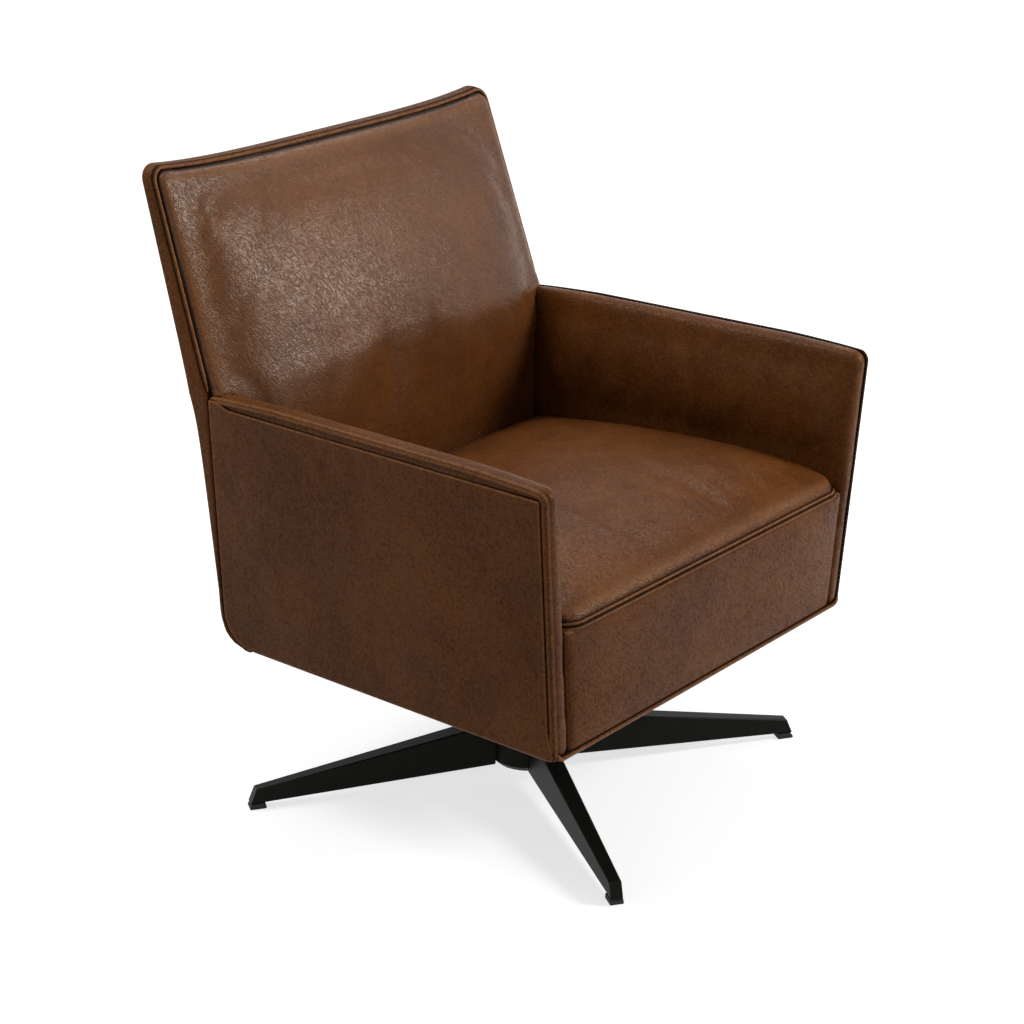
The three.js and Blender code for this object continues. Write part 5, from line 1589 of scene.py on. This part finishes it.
def floor():
    """A white floor that keeps the chair's soft shadow, and that is clear from below."""
    h = FLOOR_HALF
    mesh = bpy.data.meshes.new("floor")
    mesh.from_pydata([(-h, -h, 0), (h, -h, 0), (h, h, 0), (-h, h, 0)], [], [(0, 1, 2, 3)])
    ground = bpy.data.objects.new("floor", mesh)
    bpy.context.scene.collection.objects.link(ground)
    material, plain, wire, place = new_material("white_studio_floor")
    nodes, links = material.node_tree.nodes, material.node_tree.links
    plain.inputs["Base Color"].default_value = FLOOR_BOUNCE
    plain.inputs["Roughness"].default_value = 1.0
    plain.inputs["Specular IOR Level"].default_value = 0.0
    shaded = wire.node("ShaderNodeBsdfDiffuse", {"Color": FLOOR_SHADED})
    away = wire.node("ShaderNodeVectorMath", {0: place}, operation="LENGTH").outputs["Value"]
    strength = wire.ramp(away, GLOW_STARTS, GLOW_FULL, GLOW_NEAR, GLOW_FAR)
    glow = wire.node("ShaderNodeEmission", {"Strength": strength})
    lit = wire.node("ShaderNodeAddShader", {0: shaded.outputs["BSDF"], 1: glow.outputs["Emission"]})
    above = wire.node("ShaderNodeMixShader", {
        "Fac": camera_sees(wire), 1: plain.outputs["BSDF"], 2: lit.outputs["Shader"],
    })
    from_below = wire.node("ShaderNodeNewGeometry").outputs["Backfacing"]
    clear = wire.node("ShaderNodeBsdfTransparent").outputs["BSDF"]
    either = wire.node("ShaderNodeMixShader", {"Fac": from_below, 1: above.outputs["Shader"], 2: clear})
    links.new(either.outputs["Shader"], nodes["Material Output"].inputs["Surface"])
    dress(ground, material)


# The chair

GRAIN = grain_group()
MOTTLE = mottle_group()
LEATHER = leather("waxed_brown_leather", PANEL_SHINE)
SEAT_LEATHER = leather("seat_brown_leather", SEAT_SHINE)
BACK_LEATHER = leather("back_brown_leather", BACK_SHINE)
THREAD = plain_finish("brown_thread", (0.052, 0.027, 0.014), 0.7, 2400.0, 0.0001)
POWDER_COAT = plain_finish(
    "satin_black_powder_coat", (0.0058, 0.0058, 0.0040), 0.42, 900.0, 0.00008, shine=0.09,
)
RUBBER = plain_finish("black_rubber", (0.012, 0.012, 0.012), 0.85, 500.0, 0.0001)
ZINC = plain_finish("zinc_plated_steel", (0.55, 0.56, 0.58), 0.34, 700.0, 0.00003, 1.0, 0.85)
SPRING_STEEL = plain_finish("oiled_spring_steel", (0.22, 0.225, 0.235), 0.36, 900.0, 0.00004, 1.0)
NYLON = plain_finish("natural_nylon", (0.72, 0.71, 0.65), 0.5, 400.0, 0.00005, 0.0, 0.92)
HARDWOOD = sawn_wood("sawn_hardwood", (0.50, 0.34, 0.19), (0.08, 1, 1))
UPRIGHT_WOOD = sawn_wood("sawn_hardwood_upright", (0.50, 0.34, 0.19), (1, 1, 0.08))
PLYWOOD = sawn_wood("plywood", (0.56, 0.40, 0.24), (1, 0.1, 1))
WEBBING = woven("woven_webbing")
LINING = plain_finish("black_lining", (0.016, 0.016, 0.016), 0.95, 1200.0, 0.0002)
STITCHES = stitch_tree()
COILED_WIRE = wire_tree()
NODE_FINISHES = {
    "leather": LEATHER, "powder_coat": POWDER_COAT, "rubber": RUBBER, "steel": ZINC,
    "spring_steel": SPRING_STEEL, "nylon": NYLON, "frame_wood": HARDWOOD, "plywood": PLYWOOD,
    "webbing": WEBBING, "foam": LINING, "lining": LINING,
}


ROUND_BELOW = math.radians(32)
PAD_VOXEL, CUSHION_VOXEL = 0.0058, 0.0068
PAD_SWELL, SEAT_SWELL, BACK_SWELL = 0.012, 0.010, 0.011
OUTLINE_STEP = 2
POINTS_AT_ONCE = 4000


def finish_piece(piece, body, slot, material, *nodes):
    """Gives a piece its material and its body, and hides the solids it stands for. The slot is not used."""
    dress(piece, material)
    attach(piece, body)
    if nodes:
        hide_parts(*nodes)
    return piece


def dress_nodes():
    """Every node of the solids that still shows takes its slot's finish."""
    for part in frame["record"]["subparts"]:
        node = frame["nodes"][part["node"]]
        finish = NODE_FINISHES[part["material_slot"]]
        dress(node, UPRIGHT_WOOD if part["node"].startswith("back_post") else finish)
        node.data.polygons.foreach_set("use_smooth", [True] * len(node.data.polygons))
        node.data.set_sharp_from_angle(angle=ROUND_BELOW)


def edge_distance_far(points, outline, axes):
    """Distance from an outline for many points, seen along the axis that is left out."""
    flat, coarse = points[:, axes], outline[::OUTLINE_STEP]
    starts = range(0, len(flat), POINTS_AT_ONCE)
    return np.concatenate([edge_distance(flat[i:i + POINTS_AT_ONCE], coarse) for i in starts])


def pad_held(side):
    """How firmly an arm pad is held, from 0 to 1: at its seams, on its board and below the seat."""
    def held(points):
        x, y, z = points.T
        inner = arm_inner(y, z) - side * x
        free = smoothstep(z, SEAT_SEAM + 0.005, SEAT_SEAM + 0.06) * smoothstep(inner, -0.004, 0.008)
        ends = smoothstep(y - front_at(z), 0.006, 0.05) * smoothstep(ARM_TOP + PAD_ARCH - z, 0.008, 0.05)
        return 1 - free * ends * smoothstep(ARM_REAR - 0.02 - y, 0, 0.05)
    return held


def seat_held(points):
    """How firmly the seat's cover is held: at its seam and below it."""
    inside = smoothstep(edge_distance_far(points, seat_outline(), (0, 1)), 0.004, 0.045)
    return 1 - inside * smoothstep(points[:, 2], SEAT_SEAM + 0.004, SEAT_SEAM + 0.02)


def back_held(points):
    """How firmly the back's cover is held: at its welt, at its rear and below the arms."""
    y, z = points[:, 1], points[:, 2]
    inside = smoothstep(edge_distance_far(points, back_cushion_outline(), (0, 2)), 0.004, 0.05)
    in_front = smoothstep(band_front(np.maximum(z, ARM_TOP)) + 0.002 - y, 0, 0.006)
    return 1 - inside * in_front * smoothstep(z, BACK_CUSHION_FLOOR + 0.07, BACK_CUSHION_FLOOR + 0.13)


def seat_rim(points):
    """Distance from the seat's seam."""
    return edge_distance_far(points, seat_outline(), (0, 1)) + np.maximum(0, SEAT_SEAM + 0.002 - points[:, 2])


def back_rim(points):
    """Distance from the back's welt. Below the arms the cushion has no rim."""
    distance = edge_distance_far(points, back_cushion_outline(), (0, 2))
    return distance + 0.05 * (1 - smoothstep(points[:, 2], ARM_TOP - 0.02, ARM_TOP + 0.01))


camera()
studio()
dress_nodes()
for word, side in (("left", 1), ("right", -1)):
    finish_piece(side_panel(f"arm_panel_{word}", side), "seat", "leather", LEATHER, f"side_panel_{word}")
    pad = arm_pad(f"arm_cushion_{word}", side)
    plump(pad, pad_held(side), PAD_VOXEL, PAD_SWELL)
    finish_piece(pad, "seat", "leather", SEAT_LEATHER, f"arm_pad_{word}")
    finish_piece(arm_gusset(f"arm_gusset_{word}", side), "seat", "leather", LEATHER)
    finish_piece(arm_stitches(f"arm_stitches_{word}", side), "seat", "leather", THREAD)
seat = seat_cushion("seat_cushion")
plump(seat, seat_held, CUSHION_VOXEL, SEAT_SWELL, seat_rim)
finish_piece(seat, "seat", "leather", SEAT_LEATHER, "seat_cover", "seat_foam")
finish_piece(seat_seam("seat_front_seam"), "seat", "leather", LEATHER)
finish_piece(front_welt("front_welt"), "seat", "leather", LEATHER)
front = front_panel("front_apron")
finish_piece(front, "seat", "leather", LEATHER, "seat_front_panel")
cushion = back_cushion("back_cushion")
plump(cushion, back_held, CUSHION_VOXEL, BACK_SWELL, back_rim)
finish_piece(cushion, "seat", "leather", BACK_LEATHER, "back_cover", "back_foam")
finish_piece(back_welt("back_welt"), "seat", "leather", LEATHER)
finish_piece(outer_back("back_leather"), "seat", "leather", LEATHER, "outer_back")
finish_piece(back_stitches("back_stitches"), "seat", "leather", THREAD)

SPRING_CORNERS = (("front_right", -1, -1), ("front_left", 1, -1), ("rear_left", 1, 1), ("rear_right", -1, 1))
for word, right_or_left, front_or_rear in SPRING_CORNERS:
    x, y = right_or_left * SPRING_ACROSS, front_or_rear * SPRING_ALONG
    spring = rocking_spring(f"coil_spring_{word}", x, y)
    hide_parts(f"rock_spring_{word}")
    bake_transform(spring)
for word in ("right", "middle", "left"):
    strap, cut = seat_strap(f"seat_strap_{word}", f"seat_webbing_{word}")
    finish_piece(strap, "seat", "webbing", WEBBING, f"seat_webbing_{word}")
for word in ("lower", "upper"):
    strap, cut = back_strap(f"back_strap_{word}", f"back_webbing_{word}")
    finish_piece(strap, "seat", "webbing", WEBBING, f"back_webbing_{word}")
row = finish_piece(staples("dust_cover_staples"), "seat", "steel", ZINC)
sheet, cut, area = dust_sheet("dust_cover_sheet")
finish_piece(sheet, "seat", "lining", LINING, "dust_cover")
